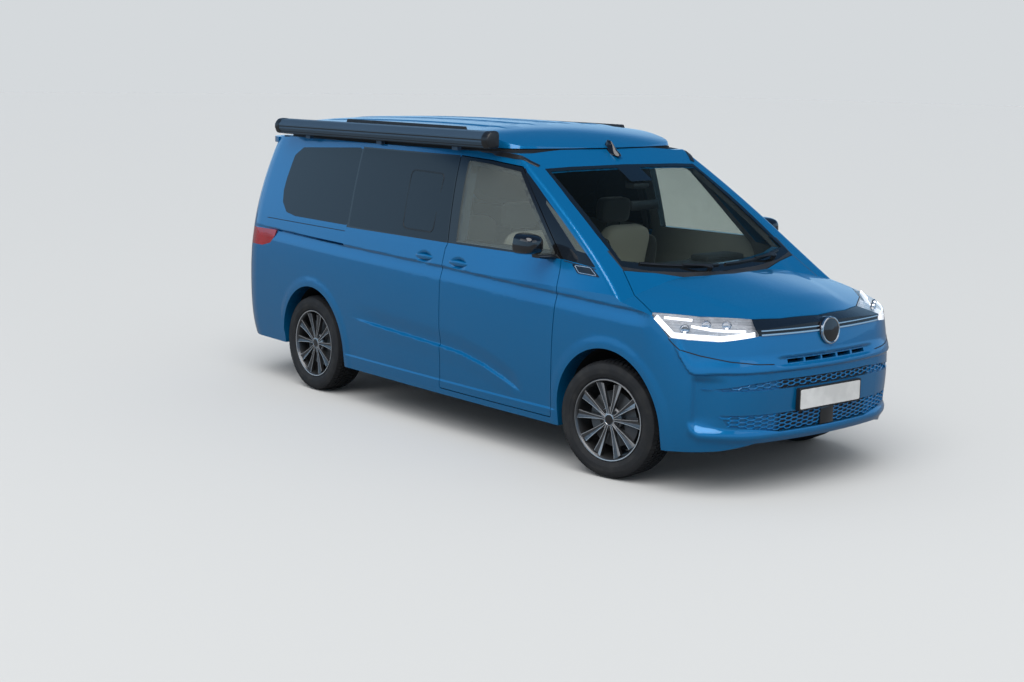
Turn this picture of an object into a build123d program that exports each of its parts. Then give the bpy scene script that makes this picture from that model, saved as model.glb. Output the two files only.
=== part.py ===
"""A camper van with a lifting roof: unibody shell, hinged doors, bonnet and tailgate, four wheels.

Frame: millimetres, +X to the front, +Y to the left, +Z up. The origin is on the ground, midway along
the body's length and width.
"""
import os
from collections import namedtuple
from math import copysign, cos, degrees, hypot, radians, sin, sqrt

from build123d import *

os.makedirs("parts", exist_ok=True)

# ---------------------------------------------------------------- driving dimensions
WHEELBASE = 3124.0
FRONT_AXLE_X = 1692.5
REAR_AXLE_X = FRONT_AXLE_X - WHEELBASE
WHEEL_Y = 800.0          # half the track
REST_STEER = 10.0        # the front wheels stand turned to the left, degrees
TYRE_RADIUS = 346.0
TYRE_WIDTH = 235.0
RIM_RADIUS = 243.0
RIM_BORE = 226.0         # inside of the rim's barrel
HUB_Z = TYRE_RADIUS
DISC_RADIUS = 165.0
DISC_THICKNESS = 26.0
ARCH_RADIUS = 412.0
ARCH_Z = 358.0
FRONT_ARCH_X = FRONT_AXLE_X + 28.0
REAR_ARCH_X = REAR_AXLE_X + 34.0
FRONT_WELL_Y = 470.0     # inner wall of the front wells, with room to steer
REAR_WELL_Y = 640.0
WELL_SKIN = 15.0

MOVING_GAP = 6.0         # clearance round a panel that moves
WALL = 100.0             # whole thickness of a side wall
PANEL = 64.0             # thickness of a door or the tailgate
NOSE_WALL = 50.0
BONNET_WALL = 35.0
LIP = 20.0               # thickness of the outer lip round a door
BONNET_LIP = 12.0
LIP_OVERHANG = 14.0
LANDING = 25.0           # how far the body's flange stands behind a panel's edge
GLASS = 8.0
GLASS_LAP = 28.0         # how far a bonded pane laps over its frame
FLOOR_TOP = 400.0
UNDERSIDE_Z = 245.0
CEILING_Z = 1800.0
BODY_TOP = 1840.0        # top of the header
CANT_TOP = 1822.0        # top of the cant rails, under the lifting roof
SILL_TOP = 288.0

# ---------------------------------------------------------------- body sections
# One row per level. front and rear are the ends on the centreline, half_width is at widest_x, and the
# other columns are radii in plan: the side ahead of and behind widest_x, the nose, the tail, the corners.
Level = namedtuple(
    "Level", "z front rear half_width widest_x side_front side_rear nose tail front_corner rear_corner"
)
LOWER_LEVELS = [
    Level(UNDERSIDE_Z, 2535.0, -2500.0, 934.0, 200, 40000, 60000, 3000, 4200, 500, 330),
    Level(430, 2578.0, -2572.0, 955.0, 200, 40000, 60000, 2900, 4200, 520, 340),
    Level(620, 2586.5, -2586.5, 967.0, 200, 38000, 60000, 2800, 4200, 540, 350),
    Level(830, 2570.0, -2580.0, 970.5, 200, 36000, 60000, 2700, 4200, 560, 350),
    Level(1080, 2520.0, -2553.0, 960.0, 200, 30000, 60000, 2600, 4200, 560, 350),
]
UPPER_LEVELS = [
    LOWER_LEVELS[-1],
    Level(1225, 2480.0, -2530.0, 938.0, 0, 19000, 55000, 2600, 4200, 520, 340),
    Level(1500, 2350.0, -2462.0, 888.0, -200, 12000, 40000, 2600, 4200, 420, 320),
    Level(BODY_TOP, 2150.0, -2345.0, 806.0, -450, 7200, 22000, 2600, 4200, 240, 300),
]

# Side profile on the centreline, swept round curved axes by the front cutters.
PLAN_AXIS_X = -3200.0            # vertical axis that gives the windscreen its curve in plan
HEADER_TOP = (700.0, BODY_TOP)
SCREEN_TOP = (870.0, 1740.0)
SCREEN_BASE = (1760.0, 1155.0)
SCREEN_BOW = 14.0
BONNET_REAR = (1500.0, 1200.0)
BONNET_FRONT = (2560.0, 958.0)
BONNET_BOW = 26.0
BONNET_TILT = 40.0               # tilt of the axis that gives the bonnet its crown
BONNET_CROWN = 3500.0
PILLAR_ROUND = 34.0


def save(name, part):
    """Labels a finished piece and writes it as its own file."""
    part.label = name
    export_step(part, f"parts/{name}.step")
    return part


# ---------------------------------------------------------------- the envelope
def inner_tangent_centre(a, ra, b, rb, r, towards):
    """Centre of the circle of radius r that touches circles a and b from inside."""
    (ax, ay), (bx, by) = a, b
    pa, pb = ra - r, rb - r
    d = hypot(bx - ax, by - ay)
    along = (pa * pa - pb * pb + d * d) / (2 * d)
    across = sqrt(pa * pa - along * along)
    ux, uy = (bx - ax) / d, (by - ay) / d
    options = [
        (ax + along * ux - side * across * uy, ay + along * uy + side * across * ux)
        for side in (1, -1)
    ]
    return max(options, key=lambda p: p[0] * towards)


def pushed(centre, through, radius):
    """The point at radius from centre, in the direction of through."""
    d = hypot(through[0] - centre[0], through[1] - centre[1])
    return (
        centre[0] + (through[0] - centre[0]) * radius / d,
        centre[1] + (through[1] - centre[1]) * radius / d,
    )


def plan_outline(level, side_in, nose_in, tail_in):
    """Draws the right half of one level's outline, moved inwards, in the active BuildLine."""
    front, rear = level.front - nose_in, level.rear + tail_in
    half_width = level.half_width - side_in
    r_nose, r_tail = level.nose - nose_in, level.tail - tail_in
    r_sf, r_sr = level.side_front - side_in, level.side_rear - side_in
    r_fc, r_rc = level.front_corner - side_in, level.rear_corner - side_in
    nose_c, tail_c = (front - r_nose, 0.0), (rear + r_tail, 0.0)
    front_c = (level.widest_x, half_width - r_sf)
    rear_c = (level.widest_x, half_width - r_sr)
    k_front = inner_tangent_centre(nose_c, r_nose, front_c, r_sf, r_fc, 1)
    k_rear = inner_tangent_centre(tail_c, r_tail, rear_c, r_sr, r_rc, -1)
    nose_end = pushed(nose_c, k_front, r_nose)
    side_front = pushed(front_c, k_front, r_sf)
    side_mid = (level.widest_x, half_width)
    side_rear = pushed(rear_c, k_rear, r_sr)
    tail_end = pushed(tail_c, k_rear, r_tail)

    def middle(centre, p, q, radius):
        return pushed(centre, ((p[0] + q[0]) / 2, (p[1] + q[1]) / 2), radius)

    arcs = [
        ((front, 0.0), middle(nose_c, (front, 0.0), nose_end, r_nose), nose_end),
        (nose_end, middle(k_front, nose_end, side_front, r_fc), side_front),
        (side_front, middle(front_c, side_front, side_mid, r_sf), side_mid),
        (side_mid, middle(rear_c, side_mid, side_rear, r_sr), side_rear),
        (side_rear, middle(k_rear, side_rear, tail_end, r_rc), tail_end),
        (tail_end, middle(tail_c, tail_end, (rear, 0.0), r_tail), (rear, 0.0)),
    ]
    for arc in arcs:
        ThreePointArc(*((x, -y) for x, y in arc))
    Polyline((rear, 0), (front, 0))


def shifted(points, amount):
    """Moves a line of points (x, z) down and back by amount, square to its runs."""
    normals = []
    for (x0, z0), (x1, z1) in zip(points, points[1:]):
        d = hypot(x1 - x0, z1 - z0)
        normals.append(((z1 - z0) / d, -(x1 - x0) / d))
    moved = []
    for i, (x, z) in enumerate(points):
        a = normals[max(i - 1, 0)]
        b = normals[min(i, len(normals) - 1)]
        k = amount / (1 + a[0] * b[0] + a[1] * b[1])
        moved.append((x + k * (a[0] + b[0]), z + k * (a[1] + b[1])))
    return moved


def bowed(p, q, bow):
    """The middle of an arc from p to q that stands bow above the chord."""
    d = hypot(q[0] - p[0], q[1] - p[1])
    nx, nz = -(q[1] - p[1]) / d, (q[0] - p[0]) / d
    return ((p[0] + q[0]) / 2 + bow * nx, (p[1] + q[1]) / 2 + bow * nz)


def beyond(p, mid, q, extra):
    """The point on the arc through p, mid and q that lies extra further along than q."""
    (ax, ay), (bx, by), (cx, cy) = p, mid, q
    sa, sb, sc = ax * ax + ay * ay, bx * bx + by * by, cx * cx + cy * cy
    d = 2 * (ax * (by - cy) + bx * (cy - ay) + cx * (ay - by))
    ux = (sa * (by - cy) + sb * (cy - ay) + sc * (ay - by)) / d
    uy = (sa * (cx - bx) + sb * (ax - cx) + sc * (bx - ax)) / d
    radius = hypot(ax - ux, ay - uy)
    turn = copysign(extra / radius, (ax - ux) * (cy - uy) - (ay - uy) * (cx - ux))
    rx, ry = cx - ux, cy - uy
    return (ux + rx * cos(turn) - ry * sin(turn), uy + rx * sin(turn) + ry * cos(turn))


FAR = 3400.0     # beyond the body, for cutters
CUT_FRONT = 2800.0


def front_cutter(screen_in, bonnet_in):
    """What is cut away, on the right, ahead of the windscreen and above the bonnet."""
    header_slope = (HEADER_TOP[1] - SCREEN_TOP[1]) / (SCREEN_TOP[0] - HEADER_TOP[0])
    up, down = 120.0, 480.0
    run = shifted(
        [(HEADER_TOP[0] - up / header_slope, HEADER_TOP[1] + up), HEADER_TOP, SCREEN_TOP, SCREEN_BASE],
        screen_in,
    )
    screen_mid = bowed(run[2], run[3], SCREEN_BOW)
    screen_foot = beyond(run[2], screen_mid, run[3], down)
    screen_axis = Axis((PLAN_AXIS_X, 0, 0), (0, 0, 1))
    with BuildPart() as screen:
        with BuildSketch(Plane.XZ):
            with BuildLine():
                Polyline(run[0], run[2])
                ThreePointArc(run[2], screen_mid, screen_foot)
                Polyline(screen_foot, (CUT_FRONT, screen_foot[1]), (CUT_FRONT, run[0][1]), run[0])
            make_face()
        revolve(axis=screen_axis, revolution_arc=22)
    rear, front = shifted([BONNET_REAR, BONNET_FRONT], bonnet_in)
    tilt = radians(BONNET_TILT)
    mid = bowed(rear, front, BONNET_BOW)
    axis_x = mid[0] - BONNET_CROWN * cos(tilt)
    axis_z = mid[1] - BONNET_CROWN * sin(tilt)
    end_slope = 0.33
    nose = (CUT_FRONT + 300, front[1] - (CUT_FRONT + 300 - front[0]) * end_slope)
    bonnet_axis = Axis((axis_x, 0, axis_z), (-sin(tilt), 0, cos(tilt)))
    with BuildPart() as bonnet_top:
        with BuildSketch(Plane.XZ):
            with BuildLine():
                ThreePointArc(rear, mid, front)
                Polyline(front, nose, (nose[0], 2600), (300, 2600), (300, rear[1]), rear)
            make_face()
        revolve(axis=bonnet_axis, revolution_arc=38)
    with BuildPart() as cutter:
        add(screen.part.rotate(screen_axis, -20))
        add(bonnet_top.part.rotate(bonnet_axis, -34), mode=Mode.INTERSECT)
    return cutter.part


def envelope(side_in, nose_in, tail_in, screen_in, bonnet_in, top, bottom):
    """The right half of the body's closed outer form, or of an inner copy moved in from each face."""
    cutter = front_cutter(screen_in, bonnet_in)
    with BuildPart() as body:
        for levels in (LOWER_LEVELS, UPPER_LEVELS):
            for level in levels:
                with BuildSketch(Plane.XY.offset(level.z)):
                    with BuildLine():
                        plan_outline(level, side_in, nose_in, tail_in)
                    make_face()
            loft()
        if top < BODY_TOP:
            with Locations((0, 0, top)):
                Box(3 * FAR, 3 * FAR, 500, align=(Align.CENTER, Align.CENTER, Align.MIN), mode=Mode.SUBTRACT)
        if bottom > LOWER_LEVELS[0].z:
            with Locations((0, 0, bottom)):
                Box(3 * FAR, 3 * FAR, 500, align=(Align.CENTER, Align.CENTER, Align.MAX), mode=Mode.SUBTRACT)
        add(cutter, mode=Mode.SUBTRACT)
    return body.part




def side_prism(points, corner=0.0, grow=0.0, inner_y=300.0, outer_y=1100.0):
    """A prism on the right side, from an outline of (x, z) points."""
    with BuildPart() as prism:
        with BuildSketch(Plane.XZ.offset(inner_y)):
            with BuildLine():
                Polyline(*points, close=True)
            make_face()
            if corner:
                fillet(vertices(), corner)
            if grow:
                offset(amount=grow)
        extrude(amount=outer_y - inner_y)
    return prism.part


def front_prism(points, corner=0.0, grow=0.0, rear_x=1900.0, front_x=2700.0):
    """A prism along the car from an outline of (y, z) points."""
    with BuildPart() as prism:
        with BuildSketch(Plane.YZ.offset(rear_x)):
            with BuildLine():
                Polyline(*points, close=True)
            make_face()
            if corner:
                fillet(vertices(), corner)
            if grow:
                offset(amount=grow)
        extrude(amount=front_x - rear_x)
    return prism.part


def plan_prism(points, bottom, top, corner=0.0, grow=0.0):
    """An upright prism from an outline of (x, y) points."""
    with BuildPart() as prism:
        with BuildSketch(Plane.XY.offset(bottom)):
            with BuildLine():
                Polyline(*points, close=True)
            make_face()
            if corner:
                fillet(vertices(), corner)
            if grow:
                offset(amount=grow)
        extrude(amount=top - bottom)
    return prism.part


def cut_out(shape, *tools):
    """The shape with each tool taken away."""
    with BuildPart() as cut:
        add(shape)
        for tool in tools:
            add(tool, mode=Mode.SUBTRACT)
    return cut.part


def common(shape, *tools):
    """What the shape shares with every tool."""
    with BuildPart() as shared:
        add(shape)
        for tool in tools:
            add(tool, mode=Mode.INTERSECT)
    return shared.part


def both_sides(shape):
    """The right-hand shape with its mirror image on the left, joined where they meet."""
    with BuildPart() as pair:
        add(shape)
        mirror(shape, about=Plane.XZ)
    return pair.part


def left_of(shape):
    """The mirror image of a right-hand piece."""
    with BuildPart() as flipped:
        mirror(shape, about=Plane.XZ)
    return flipped.part


def beside_screen(edge):
    """Whether an edge runs down the side of the header, the windscreen or the bonnet's rear."""
    box = edge.bounding_box()
    return box.max.Y < -600 and box.min.X > 600 and box.max.X < 1820 and box.min.Z > 1075 and box.size.Z > 50


def twin(points):
    """A right-hand outline of (y, z) or (x, y) halves closed across the centre."""
    return points + [(-y, z) for y, z in reversed(points) if y]


# ---------------------------------------------------------------- envelopes, from the outside in
# Each is the right half: the pieces that cross the middle are mirrored once they are finished.
with BuildPart() as rounded:
    add(envelope(0, 0, 0, 0, 0, BODY_TOP, UNDERSIDE_Z))
    fillet(rounded.edges().filter_by(beside_screen), PILLAR_ROUND)
outer = rounded.part
at_glass = envelope(GLASS, GLASS, GLASS, GLASS, GLASS, BODY_TOP - GLASS, UNDERSIDE_Z)
at_lip = envelope(LIP, BONNET_LIP, LIP, LIP, BONNET_LIP, BODY_TOP - LIP, UNDERSIDE_Z)
at_panel = envelope(PANEL, NOSE_WALL, PANEL, NOSE_WALL, BONNET_WALL, BODY_TOP, UNDERSIDE_Z)
at_landing = envelope(
    PANEL + MOVING_GAP, NOSE_WALL, PANEL + MOVING_GAP, NOSE_WALL, BONNET_WALL + MOVING_GAP, BODY_TOP, UNDERSIDE_Z
)
cabin = envelope(WALL, NOSE_WALL, WALL, NOSE_WALL, BONNET_WALL, CEILING_Z, UNDERSIDE_Z)
panel_skin = cut_out(outer, at_panel)
glass_skin = cut_out(outer, at_glass)

# ---------------------------------------------------------------- shut lines and window outlines, x and z
DOOR = [(1244, SILL_TOP), (1268, 800), (1285, 1060), (1276, 1180), (1262, 1244), (742, 1743), (452, 1770),
        (178, 1785), (220, 1232), (202, 1200), (178, 990), (178, 500), (156, SILL_TOP)]
SLIDER = [(150, SILL_TOP), (172, 500), (172, 990), (196, 1200), (214, 1232), (171, 1790), (-912, 1794),
          (-921, 1496), (-942, 1240), (-972, 1212), (-981, 1041), (-1006, 700), (-1028, 430), (-1028, SILL_TOP)]
DOOR_GLASS = [(1226, 1248), (738, 1716), (452, 1750), (262, 1762), (300, 1236)]
FRONT_QUARTER_GLASS = [(1286, 1238), (1560, 1212), (1400, 1320), (1218, 1440), (1052, 1548), (908, 1644),
                       (800, 1712), (772, 1716)]
SLIDER_GLASS = [(206, 1236), (164, 1780), (-904, 1786), (-930, 1248)]
REAR_QUARTER_GLASS = [(-950, 1250), (-1668, 1256), (-1800, 1276), (-1872, 1345), (-1886, 1430), (-1872, 1520),
                      (-1822, 1690), (-1719, 1752), (-922, 1788)]
RAIL_SLOT = [(-980, 1106), (-980, 1122), (-1900, 1141), (-1900, 1126)]
TAILGATE_LINE = [(-2330, 560), (-2300, 985), (-2250, 1217), (-2140, 1812)]
BUMPER_REAR_LINE = [(2171, 891), (1985, 717), (1985, 200)]
REAR_BUMPER = [(-1775, 100), (-1790, 300), (-1845, 545), (-2800, 545), (-2800, 100)]
REAR_BUMPER_BOTTOM = 300.0
TAIL_LAMP = [(-1915, 1134), (-2700, 1124), (-2700, 996), (-2114, 1004), (-1998, 1032), (-1935, 1090)]
BONNET_PLAN = [(1645, -741), (1700, -560), (1752, -400), (1800, -230), (1828, 0), (1800, 230), (1752, 400),
               (1700, 560), (1645, 741), (2023, 877), (2219, 698), (2386, 456), (2442, 286), (2474, 0),
               (2442, -286), (2386, -456), (2219, -698), (2023, -877)]
SCREEN_GLASS = twin([(0, 1160), (-300, 1168), (-560, 1188), (-732, 1218), (-719, 1386), (-693, 1560), (-652, 1736),
                     (-454, 1744), (0, 1750)])
BONNET_BOTTOM = 950.0
HEADLAMP_ORIGIN = (2250.0, -700.0, 0.0)
HEADLAMP_FACING = (0.64, -0.77, 0.0)
HEADLAMP = [(-295, 1018), (-180, 891), (108, 885), (313, 912), (255, 992), (-22, 1010)]
GRILLE_BAR = [(-540, 912), (540, 912), (540, 1040), (-540, 1040)]
UPPER_MESH = twin([(-735, 613), (-790, 620), (-560, 655), (-367, 666)])
LOWER_MESH = twin([(-367, 368), (-690, 412), (-730, 478), (-367, 474)])
BUMPER_EDGE = twin([(-1000, 100), (-980, 252), (-860, 252), (-700, 272), (-520, 312)])
AIR_SLOT = (118.0, 22.0)
AIR_SLOT_Z = 763.0
DOOR_Y, OPENING_Y = 690.0, 520.0      # how far in the doors' and the openings' outlines are cut
COWL_HALF_WIDTH = 742.0

# ---------------------------------------------------------------- wheel wells
def well_form(arch_x, inner_y, radius, depth):
    """A wheel well on the right: a round arch that stays open below."""
    with BuildPart() as well:
        with BuildSketch(Plane.XZ.offset(inner_y)):
            with Locations((arch_x, ARCH_Z)):
                Circle(radius)
            with Locations((arch_x, 0)):
                Rectangle(2 * radius, ARCH_Z, align=(Align.CENTER, Align.MIN))
        extrude(amount=depth)
    return well.part


front_well = well_form(FRONT_ARCH_X, FRONT_WELL_Y, ARCH_RADIUS, 700)
rear_well = well_form(REAR_ARCH_X, REAR_WELL_Y, ARCH_RADIUS, 700)
front_housing = well_form(FRONT_ARCH_X, FRONT_WELL_Y - WELL_SKIN, ARCH_RADIUS + WELL_SKIN, 600)
rear_housing = well_form(REAR_ARCH_X, REAR_WELL_Y - WELL_SKIN, ARCH_RADIUS + WELL_SKIN, 500)

# ---------------------------------------------------------------- regions of the outer skin
door_region = side_prism(DOOR, corner=10, inner_y=DOOR_Y)
door_room = side_prism(DOOR, corner=10, grow=MOVING_GAP, inner_y=DOOR_Y - 10)
door_hole = side_prism(DOOR, corner=10, grow=-LANDING, inner_y=OPENING_Y)
door_core = side_prism(DOOR, corner=10, grow=-LIP_OVERHANG, inner_y=OPENING_Y)
slider_region = side_prism(SLIDER, corner=8, inner_y=DOOR_Y)
slider_hole = side_prism(SLIDER, corner=8, grow=-LANDING, inner_y=OPENING_Y)


def tail_region(ahead):
    """Everything behind the tailgate's shut line, moved forward by ahead."""
    line = [(x + ahead, z) for x, z in TAILGATE_LINE]
    line[0] = (line[0][0], line[0][1] - ahead)
    line[-1] = (line[-1][0], line[-1][1] + ahead)
    points = line + [(-2800, line[-1][1]), (-2800, line[0][1])]
    return side_prism(points, inner_y=0, outer_y=1200)


tailgate_region = tail_region(0)
tailgate_room = tail_region(MOVING_GAP)
tailgate_hole = tail_region(-LANDING)
tailgate_core = tail_region(-LIP_OVERHANG)
bonnet_region = plan_prism(BONNET_PLAN, BONNET_BOTTOM, 1300)
bonnet_room = plan_prism(BONNET_PLAN, BONNET_BOTTOM - 15, 1300, grow=MOVING_GAP)
bonnet_core = plan_prism(BONNET_PLAN, 880, 1320, grow=-LIP_OVERHANG)
bonnet_hole = plan_prism(BONNET_PLAN, 800, 1300, grow=-LANDING)
with BuildPart() as lamp_prism:
    with BuildSketch(Plane(HEADLAMP_ORIGIN, x_dir=(0.77, 0.64, 0), z_dir=HEADLAMP_FACING).offset(-260)):
        with BuildLine():
            Polyline(*HEADLAMP, close=True)
        make_face()
        fillet(vertices(), 8)
    extrude(amount=600)
headlamp_region = lamp_prism.part
bumper_region = side_prism(BUMPER_REAR_LINE + [(2800, 200), (2800, 1100), (2171, 1100)], inner_y=0, outer_y=1200)
rear_bumper_region = side_prism(REAR_BUMPER, inner_y=0, outer_y=1200)
bar_region = front_prism(GRILLE_BAR, rear_x=2200)
screen_region = front_prism(SCREEN_GLASS, rear_x=500, front_x=1900)
screen_hole = front_prism(SCREEN_GLASS, grow=-GLASS_LAP, rear_x=500, front_x=1900)
cowl_region = plan_prism([(1400, -COWL_HALF_WIDTH), (1860, -COWL_HALF_WIDTH), (1860, 10), (1400, 10)], 1000, 1300)
tail_lamp_region = side_prism(TAIL_LAMP, inner_y=0, outer_y=1200)
TAILGATE_GLASS = twin([(-690, 1160), (-735, 1240), (-700, 1500), (-655, 1700), (-300, 1712)])
tail_glass_region = front_prism(TAILGATE_GLASS, rear_x=-2800, front_x=-1900)
tail_glass_hole = front_prism(TAILGATE_GLASS, grow=-GLASS_LAP, rear_x=-2800, front_x=-1900)
lamp_gap = front_prism([(-560, 900), (560, 900), (560, 1200), (-560, 1200)], rear_x=-2800, front_x=-1900)

# ---------------------------------------------------------------- front doors
door_glass_region = side_prism(DOOR_GLASS, corner=16, inner_y=DOOR_Y)
with BuildPart() as door_right:
    add(common(door_region, panel_skin))
    add(common(cut_out(door_region, door_core), at_lip), mode=Mode.SUBTRACT)
    add(cut_out(door_glass_region, at_glass), mode=Mode.SUBTRACT)
    add(side_prism(DOOR_GLASS, corner=16, grow=-GLASS_LAP, inner_y=OPENING_Y), mode=Mode.SUBTRACT)
door_glass = common(door_glass_region, glass_skin)
save("door_right", door_right.part)
save("door_left", left_of(door_right.part))
save("door_glass_right", door_glass)
save("door_glass_left", left_of(door_glass))

# ---------------------------------------------------------------- sliding doors and fixed side glass
slider_glass_region = side_prism(SLIDER_GLASS, corner=14, inner_y=DOOR_Y)
quarter_region = side_prism(FRONT_QUARTER_GLASS, corner=5, inner_y=DOOR_Y)
rear_quarter_region = side_prism(REAR_QUARTER_GLASS, corner=30, inner_y=DOOR_Y)
with BuildPart() as sliding_door:
    add(common(slider_region, panel_skin))
    add(cut_out(slider_glass_region, at_glass), mode=Mode.SUBTRACT)
    add(side_prism(SLIDER_GLASS, corner=14, grow=-GLASS_LAP, inner_y=OPENING_Y), mode=Mode.SUBTRACT)
    add(rear_well, mode=Mode.SUBTRACT)
save("sliding_doors", both_sides(sliding_door.part))
with BuildPart() as side_glass:
    for region in (slider_glass_region, quarter_region, rear_quarter_region):
        add(common(region, glass_skin))
save("side_glass", both_sides(side_glass.part))

# ---------------------------------------------------------------- tailgate
SPOILER_BOTTOM, SPOILER_TOP, SPOILER_REACH = 1770.0, 1812.0, 95.0
with BuildPart() as spoiler:
    with BuildSketch(Plane.XY.offset(SPOILER_BOTTOM)):
        with BuildLine():
            plan_outline(UPPER_LEVELS[-1], -14, 0, -SPOILER_REACH)
        make_face()
        with Locations((TAILGATE_LINE[-1][0] - 4, 0)):
            Rectangle(6000, 3000, align=(Align.MIN, Align.CENTER), mode=Mode.SUBTRACT)
        with Locations((TAILGATE_LINE[-1][0] - 80, 0)):
            Rectangle(3000, 2 * 560, align=(Align.MIN, Align.CENTER), mode=Mode.SUBTRACT)
    extrude(amount=SPOILER_TOP - SPOILER_BOTTOM)
with BuildPart() as tailgate:
    add(common(tailgate_region, panel_skin))
    add(common(cut_out(tailgate_region, tailgate_core), at_lip), mode=Mode.SUBTRACT)
    add(cut_out(tail_glass_region, at_glass), mode=Mode.SUBTRACT)
    add(tail_glass_hole, mode=Mode.SUBTRACT)
    add(cut_out(tail_lamp_region, at_glass, lamp_gap), mode=Mode.SUBTRACT)
    add(cut_out(spoiler.part, at_lip))
save("tailgate", both_sides(tailgate.part))
save("tailgate_glass", both_sides(common(tail_glass_region, glass_skin)))
save("tailgate_lamps", both_sides(cut_out(common(tail_lamp_region, tailgate_region, glass_skin), lamp_gap)))
save("tail_lamps", both_sides(cut_out(common(tail_lamp_region, outer), at_lip, tailgate_room)))

# ---------------------------------------------------------------- bonnet and nose
with BuildPart() as bonnet:
    add(common(bonnet_region, panel_skin))
    add(common(cut_out(bonnet_region, bonnet_core), at_lip), mode=Mode.SUBTRACT)
save("bonnet", both_sides(bonnet.part))
nose_wall = cut_out(common(bumper_region, panel_skin), bonnet_room)
save("headlamps", both_sides(cut_out(common(headlamp_region, panel_skin), bonnet_room)))
grille_bar = cut_out(common(bar_region, panel_skin), bonnet_room, headlamp_region)
upper_mesh_region = front_prism(UPPER_MESH)
lower_mesh_region = front_prism(LOWER_MESH)
with BuildPart() as air_slots:
    with BuildSketch(Plane.YZ.offset(2300)):
        with Locations((0, AIR_SLOT_Z)):
            with GridLocations(AIR_SLOT[0] + 20, 1, 5, 1):
                Rectangle(*AIR_SLOT)
    extrude(amount=500)
with BuildPart() as bumper_relief:
    with BuildSketch(Plane.YZ.offset(1900)):
        with BuildLine():
            Polyline(*BUMPER_EDGE, close=True)
        make_face()
    extrude(amount=900)
with BuildPart() as front_bumper:
    add(nose_wall)
    for tool in (headlamp_region, bar_region, upper_mesh_region, lower_mesh_region, air_slots.part,
                 bumper_relief.part, front_well):
        add(tool, mode=Mode.SUBTRACT)
save("front_bumper", both_sides(front_bumper.part))
with BuildPart() as grilles:
    add(grille_bar)
    add(cut_out(common(upper_mesh_region, at_lip), at_panel))
    add(cut_out(common(lower_mesh_region, at_lip), at_panel))
save("grilles", both_sides(grilles.part))

# ---------------------------------------------------------------- windscreen and cowl
save("windscreen", both_sides(common(screen_region, glass_skin)))
save("cowl_panel", both_sides(cut_out(common(cowl_region, outer), at_lip, bonnet_room, screen_region)))

# ---------------------------------------------------------------- body shell and rear bumper
roof_opening = plan_prism([(-1750, -600), (420, -600), (420, 600), (-1750, 600)], 1700, 1900, corner=120)
side_cuts = [
    cut_out(door_room, at_landing),
    door_hole,
    cut_out(slider_region, at_panel),
    slider_hole,
    cut_out(tailgate_room, at_landing),
    tailgate_hole,
    cut_out(tail_lamp_region, at_lip),
    cut_out(screen_region, at_glass),
    screen_hole,
    cut_out(cowl_region, at_lip, cut_out(screen_region, outer)),
    cut_out(bonnet_room, at_landing),
    bonnet_hole,
    bumper_region,
    headlamp_region,
    rear_bumper_region,
    front_well,
    rear_well,
    roof_opening,
    side_prism(RAIL_SLOT, inner_y=905),
    cut_out(quarter_region, at_glass),
    side_prism(FRONT_QUARTER_GLASS, corner=2, grow=-GLASS_LAP / 3, inner_y=OPENING_Y),
    cut_out(rear_quarter_region, at_glass),
    side_prism(REAR_QUARTER_GLASS, corner=30, grow=-GLASS_LAP, inner_y=OPENING_Y),
]
with BuildPart() as body_shell:
    add(cut_out(outer, cabin))
    for tool in side_cuts:
        add(tool, mode=Mode.SUBTRACT)
    with Locations((HEADER_TOP[0] - 20, 0, CANT_TOP)):
        Box(FAR, 3 * FAR, 400, align=(Align.MAX, Align.CENTER, Align.MIN), mode=Mode.SUBTRACT)
    with Locations((TAILGATE_LINE[-1][0] + MOVING_GAP, 0, TAILGATE_LINE[-1][1] + MOVING_GAP)):
        Box(FAR, 3 * FAR, 400, align=(Align.MAX, Align.CENTER, Align.MIN), mode=Mode.SUBTRACT)
save("body_shell", both_sides(body_shell.part))
with BuildPart() as rear_bumper:
    add(common(rear_bumper_region, panel_skin))
    add(rear_well, mode=Mode.SUBTRACT)
    with Locations((-2400, 0, REAR_BUMPER_BOTTOM)):
        Box(2000, 3000, 400, align=(Align.CENTER, Align.CENTER, Align.MAX), mode=Mode.SUBTRACT)
save("rear_bumper", both_sides(rear_bumper.part))
cabin = both_sides(cabin)
with BuildPart() as well_pair:
    add(front_well)
    add(rear_well)
wells = both_sides(well_pair.part)

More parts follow.
